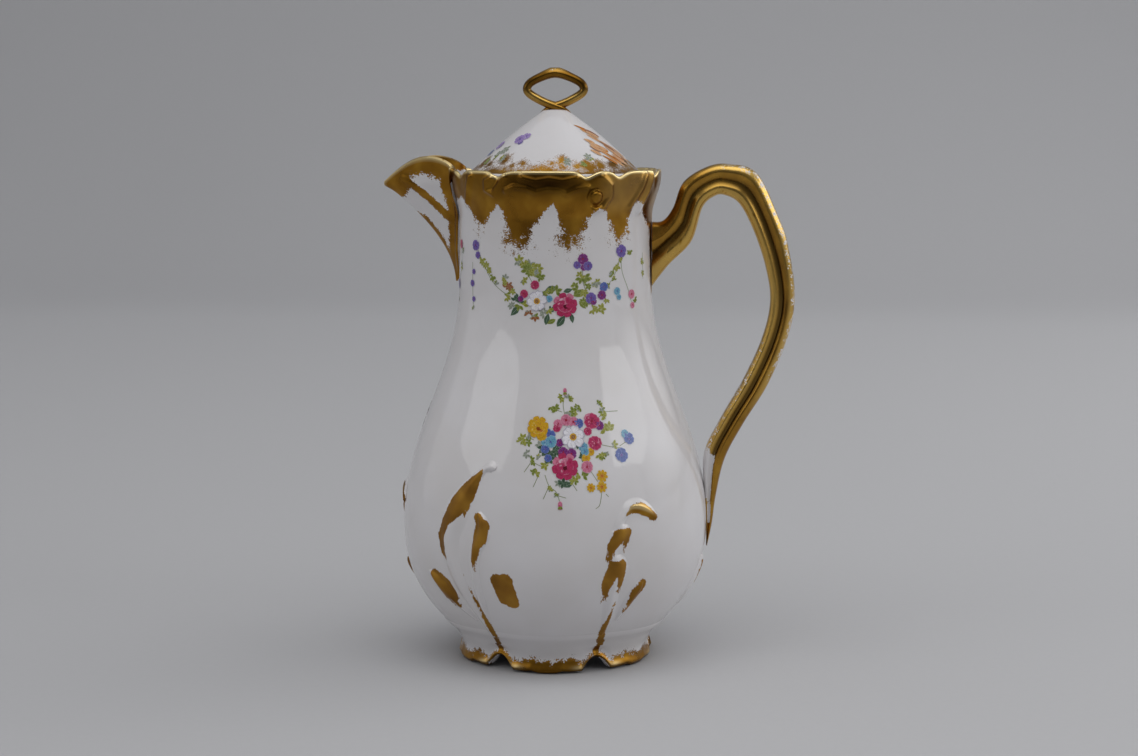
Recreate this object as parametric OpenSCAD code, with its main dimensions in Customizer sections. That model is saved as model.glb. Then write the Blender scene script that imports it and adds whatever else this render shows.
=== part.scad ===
// Porcelain chocolate pot: a pear shaped, six lobed pot on a scalloped foot,
// with an open beak, a channelled loop handle and a loose domed lid.
// +Z is up, the pot stands on z = 0 and its axis is x = y = 0.
// The beak points to -X and the handle to +X.

/* [Foot] */
// Height of the foot, from the table to the waist
foot_h = 11; // [9:0.5:14]
// Radius of the foot at the table, on the crown of a lobe
foot_r = 41.8; // [39:0.2:43]
// Thickness of the foot ring at the waist
foot_wall = 5.5; // [4:0.25:7]
// Height of the pointed notch between two lobes
notch_h = 5.8; // [3:0.2:7]
// Half of the angle that a notch takes up
notch_half = 10; // [8:0.5:14]
// Hollow of the foot's side
foot_cove = 0.9; // [0:0.1:1.5]
// Width of the flat that the foot stands on
foot_land = 1.5; // [1:0.1:2.5]
// Rounding of the unglazed edges
edge_round = 0.7; // [0.4:0.1:1]

/* [Body] */
// Radius of the waist, where the belly meets the foot
waist_r = 42.4; // [40:0.2:45]
// Widest radius of the belly, on the crown of a lobe
belly_r = 65.6; // [60:0.2:70]
// Height of the widest part of the belly
belly_z = 58; // [50:1:64]
// Radius of the neck
neck_r = 41.2; // [39.6:0.2:44]
// Height at which the belly has drawn in to the neck
neck_z = 159; // [150:1:164]
// Thickness of the porcelain wall
wall = 3; // [2.2:0.1:3.6]
// Thickness of the floor of the pot
floor_t = 4; // [3:0.25:6]
// Depth of the six flutes at the waist
foot_flute = 2.2; // [1:0.1:3]
// Depth of the six flutes at the neck
neck_flute = 0.5; // [0.2:0.1:0.9]

/* [Rim] */
// Height at which the moulded rim border starts
border_z = 186; // [180:1:190]
// Height of the rim above the table
rim_z = 206.5; // [203:0.5:212]
// Radius of the mouth that the lid drops into
mouth_r = 38.2; // [37.6:0.1:38.8]
// Thickness of the rolled rim, from the mouth to its outer edge
rim_roll = 6.8; // [5:0.2:8]
// Depth of the dips along the rim, between its curls
rim_dip = 2.3; // [0:0.1:3]
// Rounding of the rim's lip
lip_round = 0.9; // [0.5:0.1:1.2]
// How far the moulded curls of the border stand proud
curl_proud = 1; // [0:0.1:1.6]

/* [Beak] */
// Reach of the beak's tip from the pot's axis
beak_reach = 73.2; // [68:0.2:78]
// Height of the beak's tip
beak_tip_z = 201; // [198:0.5:204]
// Width of the beak where it leaves the rim
beak_w = 31; // [26:0.5:36]
// Rise of the beak's lip above a straight line to its tip
lip_rise = 7.5; // [5:0.25:9]
// Height of the raised seam along each side of the beak
seam_proud = 1.4; // [0.6:0.1:2]
// Gap along the seam
seam_gap = 0.2; // [0.15:0.01:0.3]

/* [Handle] */
// How far the handle's loop stands out from the pot
handle_out = 60.1; // [52:0.5:66]
// Height of the top of the handle's loop
handle_top = 209.3; // [204:0.5:214]
// Height of the tip of the handle's tail
handle_low = 47; // [44:0.5:56]
// Thickness of the handle, front to back
handle_t = 12; // [9:0.5:14]
// Thickness of the handle at its two roots
root_t = 14; // [11:0.5:16]
// Depth of the channel along each side of the handle
channel = 2.2; // [1:0.1:2.6]
// Gap between the handle's moulded ends and the pot
seat_gap = 0.25; // [0.2:0.01:0.35]

/* [Lid] */
// Depth of the lid's seat below the rim
seat_drop = 3.5; // [2.5:0.25:6]
// Width of the ledge
seat_w = 6; // [4.5:0.25:7]
// Thickness of the ledge at its inner edge
seat_t = 2; // [1.5:0.25:3]
// Running gap between the rim of the lid and the mouth
lid_play = 1.3; // [0.8:0.1:1.8]
// Gap that the lid's underside keeps to the ledge
lid_rest = 0.3; // [0.2:0.05:0.5]
// Height of the lid's cone above its underside
lid_h = 28.2; // [24:0.2:32]
// Radius of the flat at the lid's apex
apex_r = 5.2; // [4:0.1:6.5]
// Thickness of the lid's cone
lid_wall = 4; // [3:0.25:5]
// Height of the lid's edge
lid_edge = 2.6; // [2.2:0.1:4]
// Depth of the locating collar below the lid
collar_h = 10; // [7:0.5:14]
// Thickness of the locating collar
collar_t = 2.8; // [2:0.1:3.2]
// Gap between the locating collar and the ledge
collar_play = 0.8; // [0.5:0.1:1.2]

/* [Finial] */
// Height of the loop finial
finial_h = 18.2; // [15:0.2:22]
// Width of the loop finial over its two corners
finial_w = 26.6; // [22:0.2:30]
// Thickness of the loop's cord of porcelain
finial_t = 3.6; // [3:0.1:4.4]

/* [Moulded leaves] */
// How far the moulded leaves and scrolls stand proud
leaf_proud = 1.7; // [1:0.1:2.4]
// Half width of the broadest leaf
leaf_half = 4.8; // [3:0.2:6]
// Gap under a moulded leaf
leaf_gap = 0.15; // [0.12:0.01:0.25]

/* [Hidden] */

PORCELAIN = "#f2f1f4";
GILDING = "#b98a2e";

// Facets round the body, and angles of one facet
COLUMNS = 72;
STEP = 360 / COLUMNS;
LOBES = 6;
BEAK = 180;
// Joint round the ledge, and the angle that its two ends stay clear of the beak
ledge_joint = 0.06;
ledge_end = 1.5;
// Outer radius of the rolled rim
rim_r = mouth_r + rim_roll;
// Height of the ledge that the lid sits on
seat_z = rim_z - seat_drop;
// Height at which the seam of the beak starts
beak_z = neck_z;

// Profiles shared by every piece

function clamp01(t) = min(1, max(0, t));
// Eases from 0 to 1 as t goes from 0 to 1
function ease(t) = (1 - cos(180 * clamp01(t))) / 2;
function mix(a, b, t) = a + (b - a) * t;

// Radius on the crown of a lobe: full low belly, drawn in neck
function belly(z) =
    z < belly_z
        ? mix(waist_r, belly_r, 1 - pow(1 - clamp01((z - foot_h) / (belly_z - foot_h)), 2.4))
        : mix(belly_r, neck_r, ease((z - belly_z) / (neck_z - belly_z)));

// Depth of the flutes at a height, and how sharp their bottom is
function flute_depth(z) = neck_flute + (foot_flute - neck_flute) * pow(1 - clamp01(z / neck_z), 3);
function flute_sharp(z) = clamp01(1 - z / 45);
function flute(a, z) =
    flute_depth(z) * mix((1 + cos(LOBES * a)) / 2, 1 - abs(sin(LOBES / 2 * a)), flute_sharp(z));

// Outer and inner surface of the pot at an azimuth and a height
function skin(a, z) = belly(z) - flute(a, z);
function lining(a, z) = skin(a, z) - wall;
function polar(r, a, z) = [r * cos(a), r * sin(a), z];

// Half width of the beak's opening at a height, and the azimuth it takes up
function beak_half(z) = beak_w / 2 * pow(clamp01((z - beak_z) / (rim_z - beak_z)), 0.8);
function beak_angle(z) = asin(beak_half(z) / neck_r);

// Azimuth of a column: the row closes at the beak, or stops at its two seams
function column_angle(j, z) = BEAK + beak_angle(z) + j / COLUMNS * (360 - 2 * beak_angle(z));

function flat(list) = [for (part = list) for (item = part) item];
// Smooth curve through a list of points: t runs from 0 to 1 on the stretch after point i
function through(p, i, t, loop = false) =
    let (n = len(p), at = function (k) loop ? p[(k + n) % n] : p[min(n - 1, max(0, k))],
         a = at(i - 1), b = at(i), c = at(i + 1), d = at(i + 2))
    b + (c - a) * t / 2 + (2 * a - 5 * b + 4 * c - d) * t * t / 2 + (3 * b - a - 3 * c + d) * t * t * t / 2;
// The same curve by one running number: the whole part is the stretch
function along(p, s, loop = false) =
    let (i = min(floor(s), len(p) - (loop ? 1 : 2))) through(p, i, s - i, loop);

// Two triangles over a quad
function quad(a, b, c, d) = [[a, b, c], [a, c, d]];
// Skin over equal rings of m points, from one ring to the next
function side_faces(n, m, loop) = flat([for (i = [0:n - (loop ? 1 : 2)]) for (k = [0:m - 1])
    let (j = (i + 1) % n, k1 = (k + 1) % m) quad(i * m + k, i * m + k1, j * m + k1, j * m + k)]);

// Solid over equal rings of points. Open ends close across, from side to side,
// or towards a middle point where the two middles are given.
module loft(rings, loop = false, middles = []) {
    n = len(rings);
    m = len(rings[0]);
    end = (n - 1) * m;
    across = [for (k = [0:m / 2 - 2]) [k, k + 1, m - 2 - k, m - 1 - k]];
    polyhedron(
        points = concat(flat(rings), middles),
        faces = concat(
            side_faces(n, m, loop),
            loop ? []
            : len(middles) == 2
                ? concat([for (k = [0:m - 1]) [n * m, (k + 1) % m, k]],
                         [for (k = [0:m - 1]) [n * m + 1, end + k, end + (k + 1) % m]])
                : flat([for (q = across) concat(quad(q[3], q[2], q[1], q[0]),
                                                quad(end + q[0], end + q[1], end + q[2], end + q[3]))])));
}

// Foot

// Distance of an azimuth from the nearest groove, in degrees
function groove_offset(a) = abs(((a % 60) + 90) % 60 - 30);
// Height of the foot's lower edge: six lands with a pointed notch between each two
function foot_edge(a) = notch_h * pow(1 - pow(min(1, groove_offset(a) / notch_half), 2), 1.25);
// The foot's side is a little hollow, as a share of its height goes from 0 to 1
function foot_hollow(t) = foot_cove * sin(180 * t);

// One radial section of the foot, from its outer lower edge up, in and down again
function foot_section(a) =
    let (low = foot_edge(a), rise = foot_h - low, outer = foot_r - flute(a, 0), top = skin(a, foot_h))
    concat(
        [for (t = [0, 0.12, 0.35, 0.7, 1])
            polar(mix(outer, top, t) - foot_hollow(t) - (t == 0 ? edge_round : 0), a, low + rise * t)],
        [polar(top - foot_wall, a, foot_h),
         polar(outer - foot_wall, a, low + rise * 0.4),
         polar(outer - foot_wall + edge_round, a, low + edge_round),
         polar(outer - foot_land - edge_round, a, low)]);

module scalloped_foot() {
    columns = 96;
    color(PORCELAIN) loft([for (i = [0:columns - 1]) foot_section(360 / columns * i)], loop = true);
}

// Body

// Rows of the outer and the inner surface, closer where the belly turns in
function rows(low, high, n, power = 1) = [for (i = [0:n]) low + (high - low) * pow(i / n, power)];
function body_rows(bottom, n) =
    concat(rows(bottom, belly_z, n[0], 1.5),
           [for (z = rows(belly_z, neck_z, n[1])) if (z > belly_z) z],
           [for (z = rows(neck_z, border_z, n[2])) if (z > neck_z) z]);

module pot_body() {
    outer_rows = body_rows(foot_h, [8, 11, 4]);
    inner_rows = body_rows(foot_h + floor_t, [5, 6, 4]);
    m = COLUMNS + 1;
    no = len(outer_rows);
    ni = len(inner_rows);
    // The last column falls on the first wherever the row is closed
    outer_at = function (i, j) i * m + (j == COLUMNS && outer_rows[i] <= neck_z ? 0 : j);
    inner_at = function (i, j) (no + i) * m + (j == COLUMNS && inner_rows[i] <= neck_z ? 0 : j);
    under = (no + ni) * m;
    inside = under + 1;
    open_outer = len([for (z = outer_rows) if (z < neck_z) z]);
    open_inner = len([for (z = inner_rows) if (z < neck_z) z]);
    turn_in = belly_z / 8;
    color(PORCELAIN) polyhedron(
        points = concat(
            [for (z = outer_rows) for (j = [0:COLUMNS])
                let (a = column_angle(j, z)) polar(skin(a, z), a, z)],
            [for (z = inner_rows) for (j = [0:COLUMNS])
                let (a = column_angle(j, z)) polar(lining(a, max(z, foot_h + turn_in)), a, z)],
            [[0, 0, foot_h], [0, 0, foot_h + floor_t]]),
        faces = concat(
            flat([for (i = [0:no - 2]) for (j = [0:COLUMNS - 1])
                quad(outer_at(i, j), outer_at(i + 1, j), outer_at(i + 1, j + 1), outer_at(i, j + 1))]),
            flat([for (i = [0:ni - 2]) for (j = [0:COLUMNS - 1])
                quad(inner_at(i, j), inner_at(i, j + 1), inner_at(i + 1, j + 1), inner_at(i + 1, j))]),
            flat([for (j = [0:COLUMNS - 1])
                quad(outer_at(no - 1, j), inner_at(ni - 1, j),
                     inner_at(ni - 1, j + 1), outer_at(no - 1, j + 1))]),
            [for (j = [0:COLUMNS - 1]) [under, outer_at(0, j), outer_at(0, j + 1)]],
            [for (j = [0:COLUMNS - 1]) [inside, inner_at(0, j + 1), inner_at(0, j)]],
            // The two walls of the opening that the beak closes
            flat([for (i = [0:no - open_outer - 2])
                let (o = open_outer + i, n = open_inner + i)
                concat(quad(outer_at(o, 0), inner_at(n, 0), inner_at(n + 1, 0), outer_at(o + 1, 0)),
                       quad(outer_at(o + 1, COLUMNS), inner_at(n + 1, COLUMNS),
                            inner_at(n, COLUMNS), outer_at(o, COLUMNS)))])));
}

// Rim border

// Angle from the front, which is at -Y; the back of the pot mirrors it
function from_front(a) = let (b = (a + 630) % 360 - 180) abs(b) > 90 ? sign(b) * 180 - b : b;
// The dips between the curls of the rim: angles from the front, and half of what one takes up
RIM_DIPS = [-57, -27, 22.5, 42, 74];
dip_half = 4.6;
// Share of a dip's full depth at an azimuth
function dip(a) =
    let (b = from_front(a), near = [for (d = RIM_DIPS) exp(-pow((b - d) / dip_half, 2))]) max(near);
// Height of the rim's crest
function crest(a) = rim_z + rim_dip * (0.3 - dip(a));
// Outward roll of the rim at a height, and the bore that narrows to the mouth
function roll(z) = (rim_r - neck_r) * ease((z - border_z) / (rim_z - border_z) * 1.18 - 0.06);
function bore(a, z) =
    z < border_z ? lining(a, z)
                 : mix(lining(a, border_z), mouth_r, clamp01((z - border_z) / (rim_z - border_z) / 0.45));
// Swell of the moulded curls, which sink in under each dip
function curl(a) = curl_proud * (0.6 - dip(a));

// One section of the border, from its outer lower edge up, over the crest and down the bore
function border_section(j) =
    let (top = crest(column_angle(j, rim_z)), h = function (t) mix(border_z, top, t),
         at = function (r, z) polar(r, column_angle(j, z), z))
    concat(
        [for (t = [0, 0.22, 0.42, 0.6, 0.78, 0.92])
            at(skin(column_angle(j, h(t)), border_z) + roll(h(t))
               + curl(column_angle(j, h(t))) * sin(180 * t), h(t))],
        [at(rim_r - lip_round, h(1)), at(rim_r - 2.4 * lip_round, h(1) - 0.2),
         at(mouth_r + lip_round, h(0.92)), at(mouth_r, h(0.82)),
         at(bore(0, h(0.45)), h(0.45)), at(bore(column_angle(j, border_z), border_z), border_z)]);

module rim_border() color(GILDING) loft([for (j = [0:COLUMNS]) border_section(j)]);

// Beak

// Reach of the keel at a height, and the height of the lip over a share of the way to the keel
function keel(z) =
    mix(neck_r + seam_proud, beak_reach, pow(clamp01((z - beak_z) / (beak_tip_z - beak_z)), 1.85));
function lip(u) =
    mix(crest(BEAK + beak_angle(rim_z)), beak_tip_z, u) + lip_rise * sin(180 * u);

// A point of the beak: s runs from seam to seam over the keel, v from the bottom to the lip
function beak_point(s, v, inside) =
    let (u = 1 - abs(s), z = mix(beak_z + 0.5, lip(u), v),
         a = asin((beak_half(min(z, rim_z)) - seam_gap) / neck_r), edge = pow(abs(s), 10),
         r = inside ? bore(BEAK + a, min(z, rim_z))
                    : skin(BEAK + a, min(z, border_z)) + (roll(z) + seam_proud) * edge,
         tip = keel(z) - (inside ? wall * mix(1, 1.35, u * v) : 0))
    [-mix(r * cos(a), tip, u), sign(s) * r * sin(a) * pow(abs(s), 0.78), z];

module pouring_beak() {
    levels = [0, 0.1, 0.22, 0.36, 0.5, 0.64, 0.78, 0.9, 1];
    top = len(levels) - 1;
    color(GILDING) loft([for (s = [1, 0.8, 0.6, 0.4, 0.2, 0.06, 0, -0.06, -0.2, -0.4, -0.6, -0.8, -1])
        concat([for (v = levels) beak_point(s, v, false)],
               [for (i = [top:-1:0]) beak_point(s, levels[i], true)])]);
}

// Ledge inside the mouth, open at the beak

module lid_ledge() {
    // Flats between two columns of the border's bore lie inside its radius
    outer = mouth_r * cos(STEP / 2) - ledge_joint;
    inner = mouth_r - seat_w;
    gap = beak_angle(rim_z) + ledge_end;
    color(PORCELAIN) rotate([0, 0, BEAK + gap]) rotate_extrude(angle = 360 - 2 * gap, $fn = 96)
        polygon([[inner, seat_z], [inner, seat_z - seat_t],
                 [outer, seat_z - seat_t - seat_w * 0.6], [outer, seat_z]]);
}

// Handle

// A place on the handle's edge: its share of handle_out from the pot, and of the handle's height
function handle_edge(out, up) =
    let (z = mix(handle_low, handle_top, up)) [skin(0, min(z, border_z)) + out * handle_out, z];
// The outer and the inner edge of the handle, in pairs of such shares from the neck to its tail
handle_shares = [
    [0.005, 0.85, 0.005, 0.684], [0.08, 0.854, 0.122, 0.739], [0.148, 0.887, 0.28, 0.801],
    [0.222, 0.954, 0.355, 0.887], [0.388, 0.993, 0.438, 0.917], [0.538, 1, 0.513, 0.919],
    [0.722, 0.98, 0.615, 0.896], [0.855, 0.89, 0.715, 0.826], [0.963, 0.773, 0.798, 0.733],
    [1, 0.653, 0.827, 0.647], [0.905, 0.548, 0.736, 0.555], [0.669, 0.428, 0.514, 0.444],
    [0.4, 0.327, 0.242, 0.336], [0.19, 0.234, 0.052, 0.246], [0.075, 0.136, -0.004, 0.148],
    [0.039, 0.062, -0.004, 0.068], [0.02, 0, 0.012, 0.002]];
handle_edges = [for (q = handle_shares) concat(handle_edge(q[0], q[1]), handle_edge(q[2], q[3]))];

// Section of the handle, as shares of its depth and its thickness: a rib on each edge
handle_side = [[-0.93, 0.5], [-0.62, 0.95], [-0.28, 0.98], [0.06, 1 - 2 * channel / handle_t],
               [0.36, 0.98], [0.7, 0.95], [0.95, 0.5]];
handle_section = concat([[1, 0]], [for (i = [len(handle_side) - 1:-1:0]) handle_side[i]],
                        [[-1, 0]], [for (q = handle_side) [q[0], -q[1]]]);

// Keeps a point of the handle on the outer side of the pot, by the seating gap
function seated(p) =
    let (a = atan2(p[1], p[0]), r = skin(a, min(p[2], border_z)) + seat_gap)
    norm([p[0], p[1]]) >= r ? p : [sqrt(max(0, r * r - p[1] * p[1])), p[1], p[2]];

// Half thickness at a share of the way from the neck: wide at the root, slim at the tail
function handle_half(f) =
    (handle_t + (root_t - handle_t) * max(1 - f * 8, 0) - 0.6 * handle_t * ease((f - 0.72) / 0.28)) / 2;

module handle() {
    steps = 3;
    last = (len(handle_edges) - 1) * steps;
    rings = [for (s = [0:last])
        let (e = along(handle_edges, s / steps), b = handle_half(s / last))
        [for (q = handle_section)
            seated([mix(e[2], e[0], (1 + q[0]) / 2), b * q[1], mix(e[3], e[1], (1 + q[0]) / 2)])]];
    middle = function (e) seated([(e[0] + e[2]) / 2, 0, (e[1] + e[3]) / 2]);
    color(GILDING)
        loft(rings, middles = [middle(handle_edges[0]), middle(handle_edges[len(handle_edges) - 1])]);
}

// Moulded leaves and scrolls, which rise from the six grooves

// A rib that lies on the pot. Its stops are: azimuth from the groove, height as a share of the
// way from the foot to the widest belly, half width as a share of leaf_half, and how proud it
// stands as a share of leaf_proud.
module rib(groove, stops) {
    steps = 2;
    last = (len(stops) - 1) * steps;
    across = [[1, 0], [0.72, 0.62], [0, 1], [-0.72, 0.62], [-1, 0], [0, 0]];
    line = [for (q = stops) [q[0], mix(foot_h, belly_z, q[1]), q[2] * leaf_half, q[3] * leaf_proud]];
    loft([for (s = [0:last])
        let (q = along(line, s / steps), ahead = along(line, min(last, s + 0.5) / steps),
             back = along(line, max(0, s - 0.5) / steps), per_mm = 180 / PI / belly(q[1]),
             run = [(ahead[0] - back[0]) / per_mm, ahead[1] - back[1]],
             side = [run[1], -run[0]] / norm(run))
        [for (c = across)
            let (a = groove + q[0] + c[0] * q[2] * side[0] * per_mm, z = q[1] + c[0] * q[2] * side[1])
            polar(skin(a, z) + leaf_gap + c[1] * q[3], a, z)]]);
}

// A plume: a large leaf with a curled tip, a bud on its right and a small leaf on its left
module plume(groove) color(PORCELAIN) {
    rib(groove, [[1, 0.128, 0.25, 0.5], [0.5, 0.34, 0.42, 0.7], [-3, 0.574, 0.54, 0.8],
                 [-6, 0.83, 0.67, 0.9], [-6.5, 1.043, 0.88, 1], [-3.5, 1.255, 1, 1],
                 [0.8, 1.447, 0.62, 1], [4.5, 1.564, 0.33, 0.8], [7.2, 1.63, 0.25, 0.8],
                 [9.8, 1.657, 0.38, 1], [11.8, 1.643, 0.17, 0.5]]);
    rib(groove, [[4.2, 0.234, 0.19, 0.4], [4.6, 0.447, 0.33, 0.7], [4.2, 0.702, 0.38, 0.8],
                 [5.2, 0.915, 0.42, 0.9], [8.4, 1.085, 0.54, 1], [8, 1.191, 0.42, 1],
                 [6.3, 1.266, 0.17, 0.5]]);
    rib(groove, [[-2.6, 0.245, 0.15, 0.4], [-7.5, 0.383, 0.38, 0.8], [-12.5, 0.511, 0.54, 0.9],
                 [-16.5, 0.617, 0.4, 0.9], [-18.8, 0.681, 0.17, 0.5]]);
}

// A scroll stem: knuckles one above the other, a hooked tip and a short side shoot
module scroll_stem(groove) color(PORCELAIN) {
    rib(groove, [[-1.5, 0.128, 0.23, 0.5], [-2.2, 0.34, 0.46, 0.7], [-3, 0.574, 0.58, 0.8],
                 [-1.6, 0.798, 0.71, 1], [-4, 0.915, 0.46, 0.7], [-0.8, 1.096, 0.71, 1],
                 [-1, 1.191, 0.33, 0.7], [2.4, 1.302, 0.42, 0.9], [6.2, 1.319, 0.5, 1],
                 [10.5, 1.272, 0.42, 0.9], [14, 1.2, 0.25, 0.6]]);
    rib(groove, [[2.6, 0.277, 0.17, 0.4], [5, 0.447, 0.35, 0.8], [7.8, 0.587, 0.4, 1],
                 [9, 0.649, 0.19, 0.6]]);
}

module plume_leaf_front() plume(-120);
module plume_leaf_back() plume(120);
module scroll_stem_front() scroll_stem(-60);
module scroll_stem_back() scroll_stem(60);
module scroll_stem_beak() scroll_stem(180);

// Under the handle the tail leaves room for a short leaf, and one more rises on its left
module plume_leaf_handle() color(PORCELAIN) {
    rib(0, [[0, 0.128, 0.23, 0.5], [0.6, 0.298, 0.44, 0.8], [0.2, 0.468, 0.54, 0.9],
            [0, 0.638, 0.21, 0.5]]);
    rib(0, [[-17, 0.298, 0.15, 0.4], [-15, 0.415, 0.38, 0.8], [-11.6, 0.543, 0.52, 0.9],
            [-9.4, 0.649, 0.42, 0.9], [-8.6, 0.723, 0.17, 0.5]]);
}

// Lid

lid_z = seat_z + lid_rest;
lid_r = mouth_r - lid_play;
collar_r = mouth_r - seat_w - collar_play;
apex_z = lid_z + lid_h;
// Rounding of the lid's edge, set-back of its cone and fullness of the cone's curve
lid_round = 0.6;
lid_step = 1.2;
lid_full = 1.3;
// Underside of the cone at a radius
function lid_under(r) =
    let (run = lid_r - lid_step - apex_r, rise = lid_h - lid_edge)
    lid_z + lid_edge + (lid_r - lid_step - r) / run * rise - lid_wall * norm([run, rise]) / run;

module lid_dome() {
    inner_r = collar_r - collar_t;
    foot_of_cone = [lid_r - lid_step, lid_z + lid_edge];
    color(PORCELAIN) rotate_extrude($fn = 96)
        polygon(concat(
            [[inner_r, lid_z], [lid_r - lid_round, lid_z], [lid_r, lid_z + lid_round],
             [lid_r - 0.2, lid_z + lid_edge - lid_round]],
            [for (t = [0:0.125:1]) mix(foot_of_cone, [apex_r, apex_z], t) + [0, lid_full * sin(180 * t)]],
            [[0, apex_z], [0, lid_under(apex_r)], [apex_r, lid_under(apex_r)],
             [inner_r, lid_under(inner_r)]]));
}

module lid_collar() {
    inner = collar_r - collar_t;
    low = lid_z - collar_h;
    color(PORCELAIN) rotate_extrude($fn = 96)
        polygon([[inner, lid_z], [inner, low + edge_round], [inner + edge_round, low],
                 [collar_r - edge_round, low], [collar_r, low + edge_round], [collar_r, lid_z]]);
}

// Finial

// Right half of the loop's middle line, as shares of its half width and its height
finial_half = [[0.2, 0.09], [0.5, 0.22], [0.87, 0.42], [0.84, 0.6], [0.5, 0.75], [0, 0.86]];

module loop_finial() {
    steps = 3;
    around = 8;
    half = [for (q = finial_half) [q[0] * finial_w / 2, q[1] * finial_h]];
    line = concat(half, [for (i = [len(half) - 2:-1:0]) [-half[i][0], half[i][1]]]);
    color(GILDING) loft([for (s = [0:len(line) * steps - 1])
        let (p = along(line, s / steps, true), ahead = along(line, (s + 0.2) / steps, true),
             run = (ahead - p) / norm(ahead - p), out = [run[1], -run[0]],
             // The loop swells to a crest at its peak, over a third of its width
             peak = p[1] > finial_h / 2 ? exp(-pow(6 * p[0] / finial_w, 2)) : 0)
        [for (k = [0:around - 1])
            let (w = -360 / around * k, q = p + out * cos(w) * finial_t / 2 * (1 + 0.25 * peak))
            [q[0], sin(w) * finial_t / 2 * (1.15 + 0.6 * peak), apex_z + max(0, q[1])]]], loop = true);
}

scalloped_foot();
pot_body();
rim_border();
pouring_beak();
lid_ledge();
handle();
plume_leaf_front();
plume_leaf_back();
plume_leaf_handle();
scroll_stem_front();
scroll_stem_back();
scroll_stem_beak();
lid_dome();
lid_collar();
loop_finial();
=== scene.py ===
"""Looks of a lidded porcelain chocolate pot: white glaze, brushed gold and painted garlands."""
import math

import bpy
import numpy as np
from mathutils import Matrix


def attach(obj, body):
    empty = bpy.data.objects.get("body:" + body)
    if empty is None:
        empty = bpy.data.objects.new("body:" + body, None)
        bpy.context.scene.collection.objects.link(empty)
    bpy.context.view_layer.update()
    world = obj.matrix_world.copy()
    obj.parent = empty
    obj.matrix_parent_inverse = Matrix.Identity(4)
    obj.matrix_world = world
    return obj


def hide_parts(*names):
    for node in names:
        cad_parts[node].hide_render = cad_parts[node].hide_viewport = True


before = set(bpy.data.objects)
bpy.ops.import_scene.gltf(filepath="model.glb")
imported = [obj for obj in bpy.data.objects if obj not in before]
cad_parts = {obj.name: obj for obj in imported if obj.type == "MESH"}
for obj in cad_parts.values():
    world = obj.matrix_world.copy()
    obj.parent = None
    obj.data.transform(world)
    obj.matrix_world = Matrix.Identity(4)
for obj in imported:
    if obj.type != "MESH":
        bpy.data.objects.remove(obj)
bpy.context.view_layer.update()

MM = 0.001
TINY = 1e-6
RADIAN = 57.3  # in degrees
MEET = 2e-6  # metres: points nearer than this are merged

# Sizes in millimetres, as the solids have them: the foot, whose notches are 10 degrees wide each way
foot_h, foot_r, foot_wall, foot_cove, foot_land = 11, 41.8, 5.5, 0.9, 1.5
notch_h, notch_half = 5.8, 10
# The belly and the neck, with their flutes
waist_r, belly_r, belly_z = 42.4, 65.6, 58
neck_r, neck_z, wall, floor_t = 41.2, 159, 3, 4
foot_flute, neck_flute = 2.2, 0.5
# The border with its lip, and the beak
border_z, rim_z, rim_r, mouth_r = 186, 206.5, 45, 38.2
lip_round, rim_dip = 0.9, 2.3
beak_reach, beak_tip_z, beak_w, lip_rise, seam_proud = 73.2, 201, 31, 7.5, 1.4
# The handle and the moulded leaves
handle_t, root_t, channel = 12, 14, 2.2
leaf_proud = 1.7
# The lid in its seat, its collar and its finial
seat_z, seat_w, lid_play, lid_rest, lid_h, apex_r, lid_edge = 203, 6, 1.3, 0.3, 28.2, 5.2, 2.6
collar_t, collar_play = 2.8, 0.8
finial_h, finial_w, finial_t = 18.2, 26.6, 3.6
lid_z = seat_z + lid_rest
lid_r = mouth_r - lid_play
apex_z = lid_z + lid_h
# The scene's own: the height from which the grooves are soft, how far the beak's flank runs into the
# wall, and where the lid's rounded edge ends
soft_from_z = 45
seam_sunk = 0.15
lid_cone_r = lid_r - 1.2

# Form of the pot. Azimuths are in degrees from the handle.
BEAK, FRONT = 180, -90


def cosd(a):
    return np.cos(np.radians(a))


def sind(a):
    return np.sin(np.radians(a))


def ease(t):
    """Goes smoothly from 0 to 1 while t does, and stays there."""
    return (1 - np.cos(np.pi * np.clip(t, 0, 1))) / 2


def hill(x, width):
    """1 at zero, falling off softly on both sides."""
    return np.exp(-((x / width) ** 2))


def mix(a, b, t):
    return a + (b - a) * t


def polar(r, a, z):
    """Points at a radius, an azimuth and a height."""
    r, a, z = np.broadcast_arrays(r, a, z)
    return np.stack([r * cosd(a), r * sind(a), z], -1)


def azimuth(p):
    return np.degrees(np.arctan2(p[:, 1], p[:, 0]))


def radius(p):
    return np.hypot(p[:, 0], p[:, 1])


def belly(z):
    """Radius of the pear shape before its lobes are drawn in."""
    low = mix(waist_r, belly_r, 1 - (1 - np.clip((z - foot_h) / (belly_z - foot_h), 0, 1)) ** 2.4)
    return np.where(z < belly_z, low, mix(belly_r, neck_r, ease((z - belly_z) / (neck_z - belly_z))))


def flute(a, z):
    """Depth of the six grooves: creases at the foot that soften upwards."""
    depth = neck_flute + (foot_flute - neck_flute) * (1 - np.clip(z / neck_z, 0, 1)) ** 3
    sharp = np.clip(1 - z / soft_from_z, 0, 1)
    return depth * mix((1 + cosd(6 * a)) / 2, 1 - np.abs(sind(3 * a)), sharp)


def skin(a, z):
    return belly(z) - flute(a, z)


def waist(z):
    """Soft hollow that fills the corner between the belly and the foot."""
    return 1.5 * np.log1p(np.exp(-1.18 * np.abs(z - foot_h) / 1.5))


def from_groove(a):
    """Degrees past the nearest groove."""
    return (a + 30) % 60 - 30


def from_front(a):
    """Degrees right of the front; the back of the pot repeats the front in a mirror."""
    b = (a - FRONT + 180) % 360 - 180
    return np.where(np.abs(b) > 90, np.sign(b) * 180 - b, b)


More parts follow.
